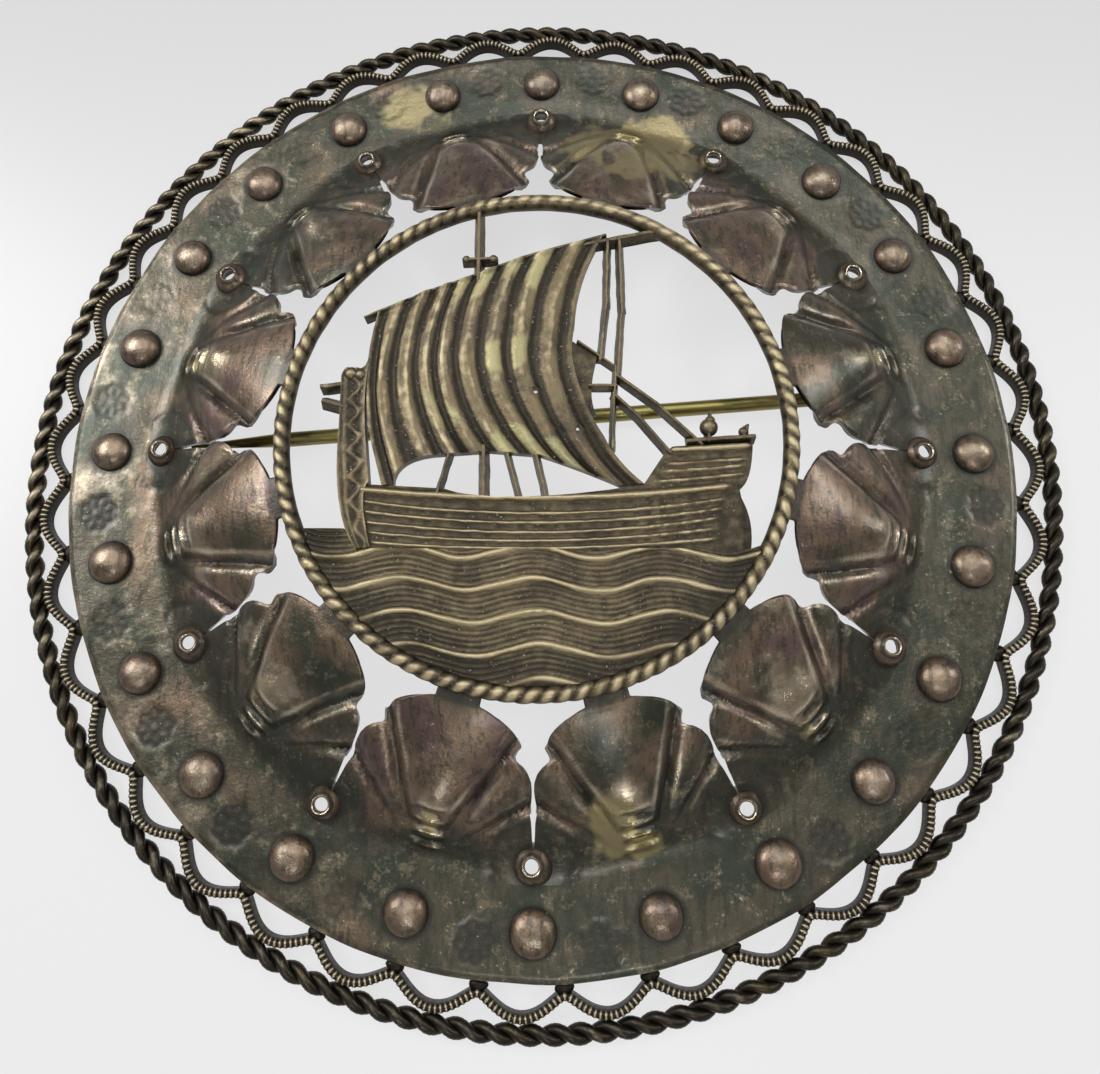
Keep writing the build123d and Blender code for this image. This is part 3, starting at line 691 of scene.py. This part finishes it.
# Milled wire: a flat wire with a milled edge, bent into forty scallops and stood on edge between the disc
# and the border. It is soldered to the disc at the foot of each scallop.
scallop_count = 40
first_scallop_angle = 1.2
wave_inner_radius = 35.09
wave_outer_radius = 36.36
wave_sharpness = 0.22
steps_in_ridge = 5
steps_in_scallop = 18 * steps_in_ridge
milling_depth = 0.075
walk_steps = 400
WIRE_SECTION = [
    # across, height, how much of the milling it shows
    (-0.28, 0.36, 0.0), (0.28, 0.36, 0.0), (0.29, 0.95, 0.3), (0.29, 1.22, 1.0), (0.23, 1.40, 1.0),
    (0.10, 1.48, 1.0), (-0.10, 1.48, 1.0), (-0.23, 1.40, 1.0), (-0.29, 1.22, 1.0), (-0.29, 0.95, 0.3),
]


def wave_point(turns):
    """A point of the wire's middle line, after a number of scallops."""
    swing = abs(cos(pi * turns))
    softened = sqrt(swing ** 2 + wave_sharpness ** 2) - wave_sharpness
    share = softened / (sqrt(1 + wave_sharpness ** 2) - wave_sharpness)
    radius = wave_inner_radius + share * (wave_outer_radius - wave_inner_radius)
    return Vector(around(first_scallop_angle + turns * 360 / scallop_count, radius))


# Even steps along one scallop, so that the milling is even too
walk = [(0.0, 0.0)]
for step in range(1, walk_steps + 1):
    far = (wave_point(step / walk_steps) - wave_point((step - 1) / walk_steps)).length
    walk.append((walk[-1][0] + far, step / walk_steps))
walk = [(far / walk[-1][0], turns) for far, turns in walk]


def wire_place(u, v):
    step = round(u * scallop_count * steps_in_scallop)
    scallop, within = divmod(step / steps_in_scallop, 1.0)
    turns = scallop + between(walk, within)
    middle = wave_point(turns)
    ahead = (wave_point(turns + 0.004) - wave_point(turns - 0.004)).normalized()
    across, height, shows = WIRE_SECTION[round(v * len(WIRE_SECTION)) % len(WIRE_SECTION)]
    ridge = (step % steps_in_ridge) / steps_in_ridge
    crest = 0.5 + 0.5 * cos(2 * pi * ridge)
    cut = milling_depth * shows * (1 - crest)
    spot = middle + Vector((-ahead.y, ahead.x)) * across * (1 - cut * 1.6)
    top = soft_step(1.15, 1.45, height)
    wear_and_highlight = 1.25 * top * crest ** 2 + 0.15 * cloud(spot.x, spot.y, 4.0, 3.0)
    # The walls below the milled top are dark all over: blackening, with painted shade
    grime_and_shade = 1.0 - top * crest
    return (spot.x, spot.y, height - cut), {"wear_and_highlight": wear_and_highlight, "grime_and_shade": grime_and_shade}


# Oxidised silver wire: bronze-black skin, rubbed to tan silver on every crest; its darkest colour is
# blackening, with painted shade on the wire's walls
blackened_wire, tree, shader, where = start_finish("blackened_silver_wire")
stains = add(tree, "ShaderNodeTexNoise", {}, {"Vector": where, "Scale": 320.0, "Detail": 4.0}).outputs[0]
grit = add(tree, "ShaderNodeTexNoise", {}, {"Vector": where, "Scale": 3600.0, "Detail": 3.0}).outputs[0]
skin = coat(tree, linear("#332f28"), [
    ("#4a412e", stains, grit, 0.3, 0.50, 0.66, 0.6),
    ("#a89c84", "wear_and_highlight", grit, 0.5, 0.35, 1.0, 0.95),
    ("#24211c", "grime_and_shade", grit, 0.35, 0.45, 1.05, 0.92),
])
shader.inputs["Metallic"].default_value = 0.88
surface(tree, shader, skin, grit, 0.34, 0.50, grit, 0.4, 0.00004)

wire = blank()
lay_sheet(wire, scallop_count * steps_in_scallop, len(WIRE_SECTION), wire_place)
close_up(wire, 0.001)
mount("milled_edge_wire", wire, blackened_wire, "blackened_silver_wire", "milled_wire")

# Solder: a dark lump at the foot of each scallop joins the wire to the edge of the disc. It was never
# filed clean.
solder_circle_radius = 34.62
solder_height = 1.02
LUMP_HALF_SIZES = (0.62, 0.40, 0.36)
solder = blank()
for index in range(scallop_count):
    angle = first_scallop_angle + (index + 0.5) * 360 / scallop_count
    lump = Matrix.Translation((*around(angle, solder_circle_radius), solder_height))
    lump = lump @ Matrix.Rotation(-radians(angle), 4, "Z") @ Matrix.Diagonal((*LUMP_HALF_SIZES, 1.0))
    made = bmesh.ops.create_icosphere(solder, subdivisions=3, radius=1.0, matrix=lump)
    for point in made["verts"]:
        point.co += Vector((0.09, 0.09, 0.06)) * cloud(point.co.x, point.co.y, 0.5, point.co.z + index)
        mark(solder, point, grime_and_shade=0.9)
mount("solder_lumps", solder, blackened_wire, "blackened_silver_wire", "milled_wire")

# Rope border: two round wires twisted together seventy-five times, bent into a ring and blackened. It
# is the widest part and rests on the table.
rope_centre_radius = 37.35
rope_centre_height = 0.65
rope_turns = 75
steps_in_turn = 20
strand_offset = 0.29
strand_radius = 0.355


def strand_place(start):
    def line(share):
        twist = 2 * pi * (rope_turns * share + start)
        x, y = around(360 * share, rope_centre_radius + strand_offset * cos(twist))
        return Vector((x, y, rope_centre_height + strand_offset * sin(twist)))

    def place(u, v):
        middle = line(u)
        ahead = (line(u + 0.0002) - line(u - 0.0002)).normalized()
        core = Vector((*around(360 * u, rope_centre_radius), rope_centre_height))
        out = (middle - core).normalized()
        side = ahead.cross(out).normalized()
        out = side.cross(ahead)
        turn = 2 * pi * v
        spot = middle + strand_radius * (out * cos(turn) + side * sin(turn))
        proud = clamped(0.5 + 0.5 * cos(turn))
        x, y = spot.x, spot.y
        wear_and_highlight = 0.40 * proud ** 3 * soft_step(0.7, 1.2, spot.z) + 0.30 * cloud(x, y, 5.0, 8.0)
        # Lighter towards the upper left of the border
        wear_and_highlight += 0.35 * soft_step(0, -25, x + 0.6 * abs(y - 25)) * proud
        return spot, {"wear_and_highlight": wear_and_highlight, "grime_and_shade": 1.15 - 1.1 * proud}

    return place


rope = blank()
for start in (0.0, 0.5):
    lay_sheet(rope, rope_turns * steps_in_turn, 12, strand_place(start))
close_up(rope, 0.001)
mount("twisted_border", rope, blackened_wire, "blackened_silver_wire", "rope_border")

# Ship's ring: cast in one with the ship, with a rope pattern of a hundred slanting lobes. Its high points
# are rubbed to khaki silver and the grooves are nearly black.
ring_radius = 16.87
ring_middle_height = 8.05
ring_half_width = 0.55
ring_half_height = 0.65
lobe_count = 100
lobe_slant = 2


def ring_place(u, v):
    turn = 2 * pi * v
    phase = lobe_count * u + lobe_slant * v + 0.10 * cloud(*around(360 * u, 6.0), 1.0, 1.0)
    uneven = 1 + 0.06 * cloud(*around(360 * u, 14.0), 1.0, 2.0)
    off_top = (360 * u - 25 + 180) % 360 - 180
    rubbed = 0.72 * hump(off_top, 0.0, 36)
    patterned = soft_step(-0.55, 0.25, sin(turn) + 0.6 * cos(turn)) * (1 - rubbed)
    lobe = 1 - patterned * (1 - abs(sin(pi * phase)) ** 0.55)
    swell = (0.83 + 0.17 * lobe) * uneven
    across = ring_half_width * cos(turn) * swell
    height = ring_half_height * sin(turn) * swell
    x, y = around(360 * u, ring_radius + across)
    upward = clamped(sin(turn) + 0.35 * cos(turn))
    wear_and_highlight = 0.95 * lobe ** 2 * upward + 0.35 * cloud(x, y, 1.2, 5.0) * upward
    grime_and_shade = 1.10 * (1 - lobe) + 0.6 * soft_step(0.35, -0.2, upward - 0.3)
    return (x, y, ring_middle_height + height), {"wear_and_highlight": wear_and_highlight, "grime_and_shade": grime_and_shade}


# Cast silver, oxidised and then worn: khaki on what stands up, pale where cleaned, black in the grooves
cast_ship, tree, shader, where = start_finish("worn_cast_silver")
clouds = add(tree, "ShaderNodeTexNoise", {}, {"Vector": where, "Scale": 300.0, "Detail": 4.0}).outputs[0]
blotches = add(tree, "ShaderNodeTexNoise", {},
               {"Vector": where, "Scale": 1300.0, "Detail": 4.0, "Roughness": 0.65}).outputs[0]
grit = add(tree, "ShaderNodeTexNoise", {}, {"Vector": where, "Scale": 6500.0, "Detail": 2.0}).outputs[0]
skin = coat(tree, linear("#695e49"), [
    ("#4f473b", clouds, blotches, 0.35, 0.44, 0.62, 0.85),
    ("#bbad8c", "wear_and_highlight", blotches, 0.9, 0.42, 1.05, 0.92),
    ("#9c9670", "pale", blotches, 0.7, 0.35, 0.80, 0.70),
    ("#2c2922", "grime_and_shade", blotches, 0.6, 0.28, 0.88, 0.95),
    ("#cfc7b2", grit, blotches, 0.5, 0.69, 0.75, 0.28),
])
shader.inputs["Metallic"].default_value = 0.85
pitted = add(tree, "ShaderNodeMath", {"operation": "MULTIPLY_ADD"}, {0: blotches, 1: 1.5, 2: grit}).outputs[0]
surface(tree, shader, skin, blotches, 0.38, 0.54, pitted, 0.5, 0.00005)

ring = blank()
lay_sheet(ring, lobe_count * 12, 20, ring_place)
close_up(ring, 0.001)
mount("ship_ring", ring, cast_ship, "cast_silver", "ship_medallion")

# Sail: one cast sheet, bellied towards the bow, with eight curved folds between dark grooves. Its head
# is laced to the yard and its foot runs free over the hull.
ship_back_height = 7.55
ship_plate_thickness = 0.72
ship_face_height = ship_back_height + ship_plate_thickness
sail_fold_rise = 0.26
SAIL_EDGES = [
    # foot, head, left, right
    [(-0.59, -0.228), (-0.545, -0.228), (-0.5, -0.14, -0.355, -0.105), (-0.175, -0.092),
     (0.02, -0.108), (0.18, -0.165, 0.33, -0.228), (0.42, -0.22)],
    [(-0.645, 0.49), (-0.46, 0.58), (-0.27, 0.65), (-0.06, 0.735), (0.27, 0.83)],
    [(-0.59, -0.228), (-0.64, -0.06), (-0.676, 0.21, -0.645, 0.49)],
    [(0.42, -0.22), (0.33, -0.13, 0.268, -0.03), (0.212, 0.071, 0.172, 0.182),
     (0.145, 0.311, 0.155, 0.44), (0.188, 0.64, 0.27, 0.83)],
]
# Plain web that ties the sail's edge to the stays
WEB_EDGES = [
    # foot, head, left, right
    [(0.205, 0.06), (0.24, 0.06)],
    [(0.145, 0.37), (0.245, 0.3)],
    [(0.205, 0.06), (0.15, 0.19, 0.135, 0.3), (0.145, 0.37)],
    [(0.24, 0.06), (0.222, 0.16, 0.245, 0.3)],
]
# Crests of the folds, as shares of the sail's width, and the number of each
FOLDS = [(-0.02, -1.0), (0.093, 0.0), (0.213, 1.0), (0.306, 2.0), (0.388, 3.0), (0.497, 4.0), (0.623, 5.0),
         (0.749, 6.0), (0.891, 7.0), (1.02, 8.0)]
SAIL_HOLES = [(-0.003, 0.158), (0.172, 0.0)]
sail_hole_radius = 0.22


def walk_along(steps):
    """A function that walks along a line of straight and curved stretches, from 0 to 1."""
    points = [steps[0]]
    for step in steps[1:]:
        x0, y0 = points[-1]
        if len(step) == 2:
            points.append(step)
            continue
        for part in range(1, 9):
            t = part / 8
            first, second, third = 2 * (t - 0.5) * (t - 1), 4 * t * (1 - t), 2 * t * (t - 0.5)
            points.append((first * x0 + second * step[0] + third * step[2],
                           first * y0 + second * step[1] + third * step[3]))
    rows = [(0.0, *points[0])]
    for (x0, y0), (x1, y1) in zip(points, points[1:]):
        rows.append((rows[-1][0] + hypot(x1 - x0, y1 - y0), x1, y1))
    whole = rows[-1][0]
    return lambda share: (between(rows, share * whole, 1), between(rows, share * whole, 2))


def filled(edges, relief):
    """Places a sheet inside four edges; relief gives height and marks from shares and ship's place."""
    foot, head, left, right = map(walk_along, edges)
    corners = [Vector(foot(0)), Vector(foot(1)), Vector(head(0)), Vector(head(1))]

    def place(u, v):
        spot = (Vector(foot(u)) * (1 - v) + Vector(head(u)) * v
                + Vector(left(v)) * (1 - u) + Vector(right(v)) * u)
        spot -= ((corners[0] * (1 - u) + corners[1] * u) * (1 - v)
                 + (corners[2] * (1 - u) + corners[3] * u) * v)
        height, marks = relief(u, v, spot.x, spot.y)
        return (spot.x * ring_radius, spot.y * ring_radius, ship_face_height + height), marks

    return place


def sail_relief(u, v, x, y):
    number = between(FOLDS, u) + 0.03 * cloud(x, y, 0.45, 3.0)
    fold = 0.5 + 0.5 * cos(2 * pi * number)
    streak = cloud(number * 6.0, y * 5.0, 1.0, 2.0)
    speck = cloud(x, y, 0.035, 4.0)
    edge = min(u, 1 - u) * 15
    rim = hump(v, 1.0, 0.018)
    height = sail_fold_rise * fold ** 0.55 + 0.03 * streak + 0.02 * speck + 0.12 * rim
    height *= soft_step(0.0, 0.25, edge) * 0.4 + 0.6
    faded = soft_step(0.40, 0.75, 0.5 + cloud(x, y, 0.26, 6.0))
    wear_and_highlight = 0.05 + 0.62 * fold ** 1.2 + 0.35 * streak + 0.25 * speck + 0.3 * rim
    wear_and_highlight -= 0.35 * soft_step(0.3, 0.9, u) * (1 - v)
    grime_and_shade = 1.15 * (1 - fold) ** 1.5 - 0.25 * streak
    pale = 0.95 * faded * soft_step(0.15, 0.4, u) * soft_step(0.95, 0.7, u) * soft_step(0.05, 0.4, fold)
    return height, {"wear_and_highlight": wear_and_highlight, "grime_and_shade": grime_and_shade, "pale": pale}


def web_relief(u, v, x, y):
    return -0.12 + 0.02 * cloud(x, y, 0.04), {"wear_and_highlight": 0.1, "grime_and_shade": 0.75 + 0.2 * cloud(x, y, 0.08)}


def cast_back(shape):
    """Gives a sheet that faces up straight sides and the flat back of the casting."""
    bmesh.ops.remove_doubles(shape, verts=shape.verts, dist=0.0005)
    back = list(shape.verts)
    bmesh.ops.extrude_face_region(shape, geom=list(shape.faces), use_keep_orig=True)
    for point in back:
        point.co.z = ship_back_height
        mark(shape, point, wear_and_highlight=0.10, grime_and_shade=0.45)
    bmesh.ops.recalc_face_normals(shape, faces=shape.faces)


def cast_sheet(name, columns, rows, place):
    """Lays a sheet of the casting, gives it its back and mounts it."""
    shape = blank()
    lay_sheet(shape, columns, rows, place)
    cast_back(shape)
    mount(name, shape, cast_ship, "cast_silver", "ship_medallion")


sail = blank()
lay_sheet(sail, 176, 112, filled(SAIL_EDGES, sail_relief))
for hole_x, hole_y in SAIL_HOLES:
    centre = Vector((hole_x * ring_radius, hole_y * ring_radius))
    near = [point for point in sail.verts if (point.co.xy - centre).length < 2 * sail_hole_radius]
    inner = min(sail.faces, key=lambda face: (face.calc_center_median().xy - centre).length)
    for point in near:
        out = point.co.xy - centre
        far = sail_hole_radius + out.length / 2
        point.co.x, point.co.y = centre + out.normalized() * far
    bmesh.ops.delete(sail, geom=[inner], context="FACES")
cast_back(sail)
mount("sail", sail, cast_ship, "cast_silver", "ship_medallion")
cast_sheet("sail_web", 8, 20, filled(WEB_EDGES, web_relief))

# Hull: clinker built, with thin raised strakes under a heavy gunwale, and a square after castle at the
# right. It is one casting with the sea below it.
HULL_EDGES = [
    # foot, head, left, right
    [(-0.64, -0.5), (0.0, -0.5), (0.815, -0.48)],
    [(-0.7, -0.222), (-0.35, -0.24), (-0.06, -0.275, 0.42, -0.222), (0.505, -0.095), (0.535, -0.072),
     (0.845, -0.055)],
    [(-0.64, -0.5), (-0.7, -0.36), (-0.7, -0.222)],
    [(0.815, -0.48), (0.82, -0.37, 0.79, -0.27), (0.785, -0.24), (0.825, -0.18, 0.845, -0.055)],
]
STRAKES = [
    # left x, left y, middle x, middle y, right x, right y, half width, rise
    (-0.688, -0.244, -0.03, -0.277, 0.75, -0.228, 0.013, 0.3),
    (-0.672, -0.29, -0.03, -0.336, 0.728, -0.278, 0.0065, 0.13),
    (-0.665, -0.33, -0.03, -0.372, 0.716, -0.315, 0.0065, 0.13),
    (-0.65, -0.37, -0.03, -0.41, 0.7, -0.352, 0.0065, 0.13),
    (-0.63, -0.412, -0.03, -0.442, 0.688, -0.392, 0.0065, 0.13),
    (-0.62, -0.45, -0.03, -0.47, 0.688, -0.43, 0.006, 0.1),
    (0.465, -0.212, 0.63, -0.198, 0.805, -0.18, 0.0065, 0.15),
    (0.49, -0.172, 0.63, -0.162, 0.805, -0.146, 0.006, 0.12),
    (0.51, -0.142, 0.66, -0.132, 0.815, -0.12, 0.0065, 0.15),
    (0.52, -0.086, 0.68, -0.078, 0.842, -0.068, 0.012, 0.28),
]


def bowed_height(x, x0, y0, x1, y1, x2, y2):
    """Height at x of the bow through three points."""
    first = (x - x1) * (x - x2) / ((x0 - x1) * (x0 - x2))
    second = (x - x0) * (x - x2) / ((x1 - x0) * (x1 - x2))
    third = (x - x0) * (x - x1) / ((x2 - x0) * (x2 - x1))
    return y0 * first + y1 * second + y2 * third


def hull_relief(u, v, x, y):
    raised = shine = 0.0
    for x0, y0, x1, y1, x2, y2, half, rise in STRAKES:
        ends = soft_step(x0 - 0.01, x0 + 0.03, x) * soft_step(x2 + 0.01, x2 - 0.03, x)
        far = (y - bowed_height(x, x0, y0, x1, y1, x2, y2) + 0.002 * cloud(x, y, 0.05, y0 * 9)) / half
        line = hump(far) * ends
        raised = max(raised, rise * line)
        shine = max(shine, line * (1.0 if rise > 0.2 else 0.75))
    stern = soft_step(0.775, 0.800, x) * soft_step(-0.20, -0.26, y)
    rough_cast = cloud(x, y, 0.03, 4.0)
    raised += stern * 0.05 * rough_cast - 0.10 * stern
    wear_and_highlight = 0.05 + 1.15 * shine + 0.3 * cloud(x, y, 0.14, 2.0) + stern * 0.4 * rough_cast
    grime_and_shade = 0.70 - 1.0 * shine + 0.15 * rough_cast + 0.2 * stern
    return raised, {"wear_and_highlight": wear_and_highlight, "grime_and_shade": grime_and_shade, "pale": 0.25 * cloud(x, y, 0.2, 7.0)}


cast_sheet("hull", 230, 84, filled(HULL_EDGES, hull_relief))

# Sea: five rows of waves under the hull, each a bright rounded crest with thin lines drawn below it, cut
# off by the ring.
wave_length = 0.493
wave_swing = 0.023
wave_drop = 0.120
wave_start = -0.017
wave_lag = 0.0143
first_wave_height = -0.470
crest_rise = 0.30
line_rise = 0.10
sea_top = walk_along([(-0.918, -0.396), (-0.72, -0.398), (-0.64, -0.475), (0.815, -0.468), (0.898, -0.44)])


def sea_relief(x, y):
    swing = wave_swing * cos(2 * pi * (x - wave_start) / wave_length)
    rows = (first_wave_height + swing - y) / wave_drop
    swing = wave_swing * cos(2 * pi * (x - wave_start - wave_lag * rows) / wave_length)
    rows = (first_wave_height + swing - y + 0.006 * cloud(x, y, 0.12, 1.0)) / wave_drop
    below = rows % 1.0
    crest = hump(below, 0.12, 0.115)
    line = (0.5 + 0.5 * cos(2 * pi * (below - 0.10) / 0.17)) * soft_step(0.22, 0.34, below)
    line *= 0.55 + 0.45 * cloud(x, rows * 6.0, 0.25, 5.0)
    lapped = soft_step(0.94, 0.80, hypot(x, y))
    crest *= 0.55 + 0.45 * lapped
    height = crest_rise * crest + line_rise * line
    wear_and_highlight = 1.45 * crest + 0.50 * line + 0.55 * cloud(x, y, 0.16, 8.0) - 0.05
    grime_and_shade = 0.74 - 1.1 * crest - 0.6 * line + 0.25 * (1 - lapped)
    patch = soft_step(0.25, 0.6, 0.5 + cloud(x, y, 0.16, 2.5)) * crest
    return height, {"wear_and_highlight": wear_and_highlight, "grime_and_shade": grime_and_shade, "pale": 0.6 * patch}


def sea_place(u, v):
    x, top = sea_top(u)
    bottom = -sqrt(max(0.0, 1 - x * x))
    y = bottom + v * (top - bottom)
    height, marks = sea_relief(x, y)
    return (x * ring_radius, y * ring_radius, ship_face_height - 0.02 + height), marks


cast_sheet("sea", 210, 96, sea_place)

# Stem post: the tall carved bow at the left, with a wavy band down its inner side. It is cast with the
# hull, and its pegs and knobs come with the spars.
STEM_EDGES = [
    # foot, head, left, right
    [(-0.675, -0.475), (-0.62, -0.47)],
    [(-0.775, 0.215), (-0.76, 0.25, -0.735, 0.245), (-0.715, 0.25, -0.7, 0.245), (-0.665, 0.275)],
    [(-0.675, -0.475), (-0.75, -0.29, -0.77, 0.0), (-0.775, 0.215)],
    [(-0.62, -0.47), (-0.655, -0.3, -0.64, -0.215), (-0.665, -0.02), (-0.675, 0.15, -0.665, 0.275)],
]


def stem_relief(u, v, x, y):
    edge = hump(min(u, 1 - u), 0.0, 0.16)
    wavy = hump(u - 0.62 - 0.16 * sin(2 * pi * v * 7), 0.0, 0.10)
    line = hump(u, 0.30, 0.07)
    raised = 0.12 + 0.12 * edge + 0.14 * wavy * soft_step(0.1, 0.3, v) + 0.08 * line
    wear_and_highlight = 0.15 + 0.45 * edge + 0.35 * wavy + 0.35 * line + 0.3 * cloud(x, y, 0.06, 2.0)
    grime_and_shade = 0.85 - 0.5 * edge - 0.55 * wavy - 0.4 * line
    return raised, {"wear_and_highlight": wear_and_highlight, "grime_and_shade": grime_and_shade}


cast_sheet("stem_post", 18, 110, filled(STEM_EDGES, stem_relief))

# Spars and rigging: mast head, yard, stays, shrouds, props and the rail and pegs at both ends, cast as
# thin rounded bars that were trimmed with a file, with small knobs where they meet.
spar_thickness = 0.92
spar_top_share = 0.30
spar_rounding = 0.10
SPARS = [
    # x1, y1, x2, y2, width
    (-0.245, 0.98, -0.24, 0.64, 0.045),
    (-0.292, 0.728, -0.18, 0.732, 0.035),
    (0.292, 0.8, 0.285, 0.54, 0.036),
    (0.285, 0.54, 0.258, 0.3, 0.034),
    (0.342, 0.805, 0.348, 0.52, 0.038),
    (0.348, 0.52, 0.328, 0.24, 0.034),
    (0.175, 0.36, 0.325, 0.25, 0.026),
    (0.318, 0.25, 0.3, -0.07, 0.028),
    (0.225, 0.178, 0.31, 0.178, 0.03),
    (0.33, 0.215, 0.48, 0.1, 0.036),
    (0.48, 0.1, 0.64, -0.055, 0.034),
    (0.318, 0.135, 0.405, 0.05, 0.036),
    (0.405, 0.05, 0.515, -0.085, 0.036),
    (-0.335, -0.1, -0.372, -0.245, 0.032),
    (-0.2, -0.09, -0.196, -0.255, 0.046),
    (-0.108, -0.095, -0.062, -0.265, 0.03),
    (0.005, -0.105, 0.042, -0.262, 0.032),
    (-0.835, 0.175, -0.77, 0.182, 0.048),
    (-0.82, 0.108, -0.77, 0.094, 0.056),
    (-0.69, 0.225, -0.672, 0.278, 0.022),
    (-0.69, 0.474, -0.455, 0.578, 0.026),
    (-0.455, 0.578, -0.265, 0.652, 0.028),
    (-0.265, 0.652, -0.055, 0.738, 0.028),
    (-0.055, 0.738, 0.272, 0.834, 0.03),
    (0.684, 0.03, 0.69, 0.066, 0.016),
    (0.676, -0.04, 0.678, -0.005, 0.03),
    (0.812, -0.03, 0.826, 0.006, 0.024),
    (0.2, 0.795, 0.35, 0.828, 0.044),
    (0.33, 0.822, 0.495, 0.855, 0.05),
    (0.61, -0.048, 0.835, -0.032, 0.044),
]
KNOBS = [
    # x, y, radius, height of its top over the ship's face in millimetres
    (-0.292, 0.728, 0.017, 0.3),
    (-0.18, 0.73, 0.019, 0.3),
    (-0.738, 0.225, 0.032, 0.42),
    (-0.7, 0.222, 0.028, 0.38),
    (0.679, 0.008, 0.036, 0.42),
    (0.684, 0.034, 0.02, 0.28),
    (0.812, -0.012, 0.02, 0.28),
]
rigging = blank()
for x1, y1, x2, y2, width in SPARS:
    start, end = Vector((x1, y1)) * ring_radius, Vector((x2, y2)) * ring_radius
    middle, along = (start + end) / 2, end - start
    thick = width * ring_radius
    long = along.length + thick
    laid = Matrix.Translation((*middle, ship_back_height + spar_thickness / 2))
    laid = laid @ Matrix.Rotation(atan2(along.y, along.x), 4, "Z")
    laid = laid @ Matrix.Diagonal((long, thick, spar_thickness, 1.0))
    made = bmesh.ops.create_cube(rigging, size=1.0)["verts"]
    for point in made:
        point.co.y *= spar_top_share if point.co.z > 0 else 1.0
    bmesh.ops.transform(rigging, matrix=laid, verts=made)
    long_edges = [edge for edge in {edge for point in made for edge in point.link_edges}
                  if edge.calc_length() > 0.99 * long]
    bmesh.ops.subdivide_edges(rigging, edges=long_edges, cuts=max(4, round(along.length / 0.35)))
corners = [edge for edge in rigging.edges if len(edge.link_faces) == 2 and edge.calc_face_angle() > 1.0]
bmesh.ops.bevel(rigging, geom=corners, offset=spar_rounding, offset_type="OFFSET", affect="EDGES", segments=3,
                profile=0.5, material=-1, clamp_overlap=True)
for point in rigging.verts:
    worn = cloud(point.co.x, point.co.y, 0.8, 1.0)
    point.co += Vector((0.05, -0.05, 0.05)) * worn
    top = soft_step(ship_face_height - 0.05, ship_face_height + 0.18, point.co.z)
    mark(rigging, point, wear_and_highlight=0.26 * top + 0.5 * worn, grime_and_shade=0.85 - 0.65 * top)
for x, y, radius, height in KNOBS:
    middle_height = ship_face_height + height - radius * ring_radius
    knob = Matrix.Translation((x * ring_radius, y * ring_radius, middle_height))
    made = bmesh.ops.create_uvsphere(rigging, u_segments=20, v_segments=12, radius=radius * ring_radius,
                                     matrix=knob)
    for point in made["verts"]:
        mark(rigging, point, wear_and_highlight=0.7 * soft_step(ship_face_height, ship_face_height + 0.4, point.co.z),
             grime_and_shade=0.5 * soft_step(ship_face_height + 0.3, ship_face_height, point.co.z))
bmesh.ops.recalc_face_normals(rigging, faces=rigging.faces)
mount("spars_and_rigging", rigging, cast_ship, "cast_silver", "ship_medallion")

# Pin, rivet, hinge and catch: the pin is plain drawn brass wire with a long point. Bracket and catch are
# bent from the same silver as the disc, and the solids serve as they are.
pin_brass, tree, shader, where = start_finish("dull_brass_wire")
drawn = add(tree, "ShaderNodeMapping", {}, {"Vector": where, "Scale": (0.12, 1.0, 1.0)}).outputs[0]
streaks = add(tree, "ShaderNodeTexNoise", {}, {"Vector": drawn, "Scale": 2600.0, "Detail": 4.0}).outputs[0]
stains = add(tree, "ShaderNodeTexNoise", {}, {"Vector": where, "Scale": 420.0, "Detail": 4.0}).outputs[0]
skin = coat(tree, linear("#8d8350"), [
    ("#5f5a34", stains, streaks, 0.5, 0.42, 0.66, 0.9),
    ("#b3a876", streaks, stains, 0.4, 0.55, 0.75, 0.8),
])
shader.inputs["Metallic"].default_value = 0.92
surface(tree, shader, skin, streaks, 0.30, 0.46, streaks, 0.3, 0.00002)
FITTINGS = [("pin_stem", pin_brass), ("hinge_rivet", pin_brass), ("pin_hinge", silver_sheet),
            ("pin_catch", silver_sheet)]
for node, finish in FITTINGS:
    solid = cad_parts[node]
    solid.data.materials.clear()
    solid.data.materials.append(finish)
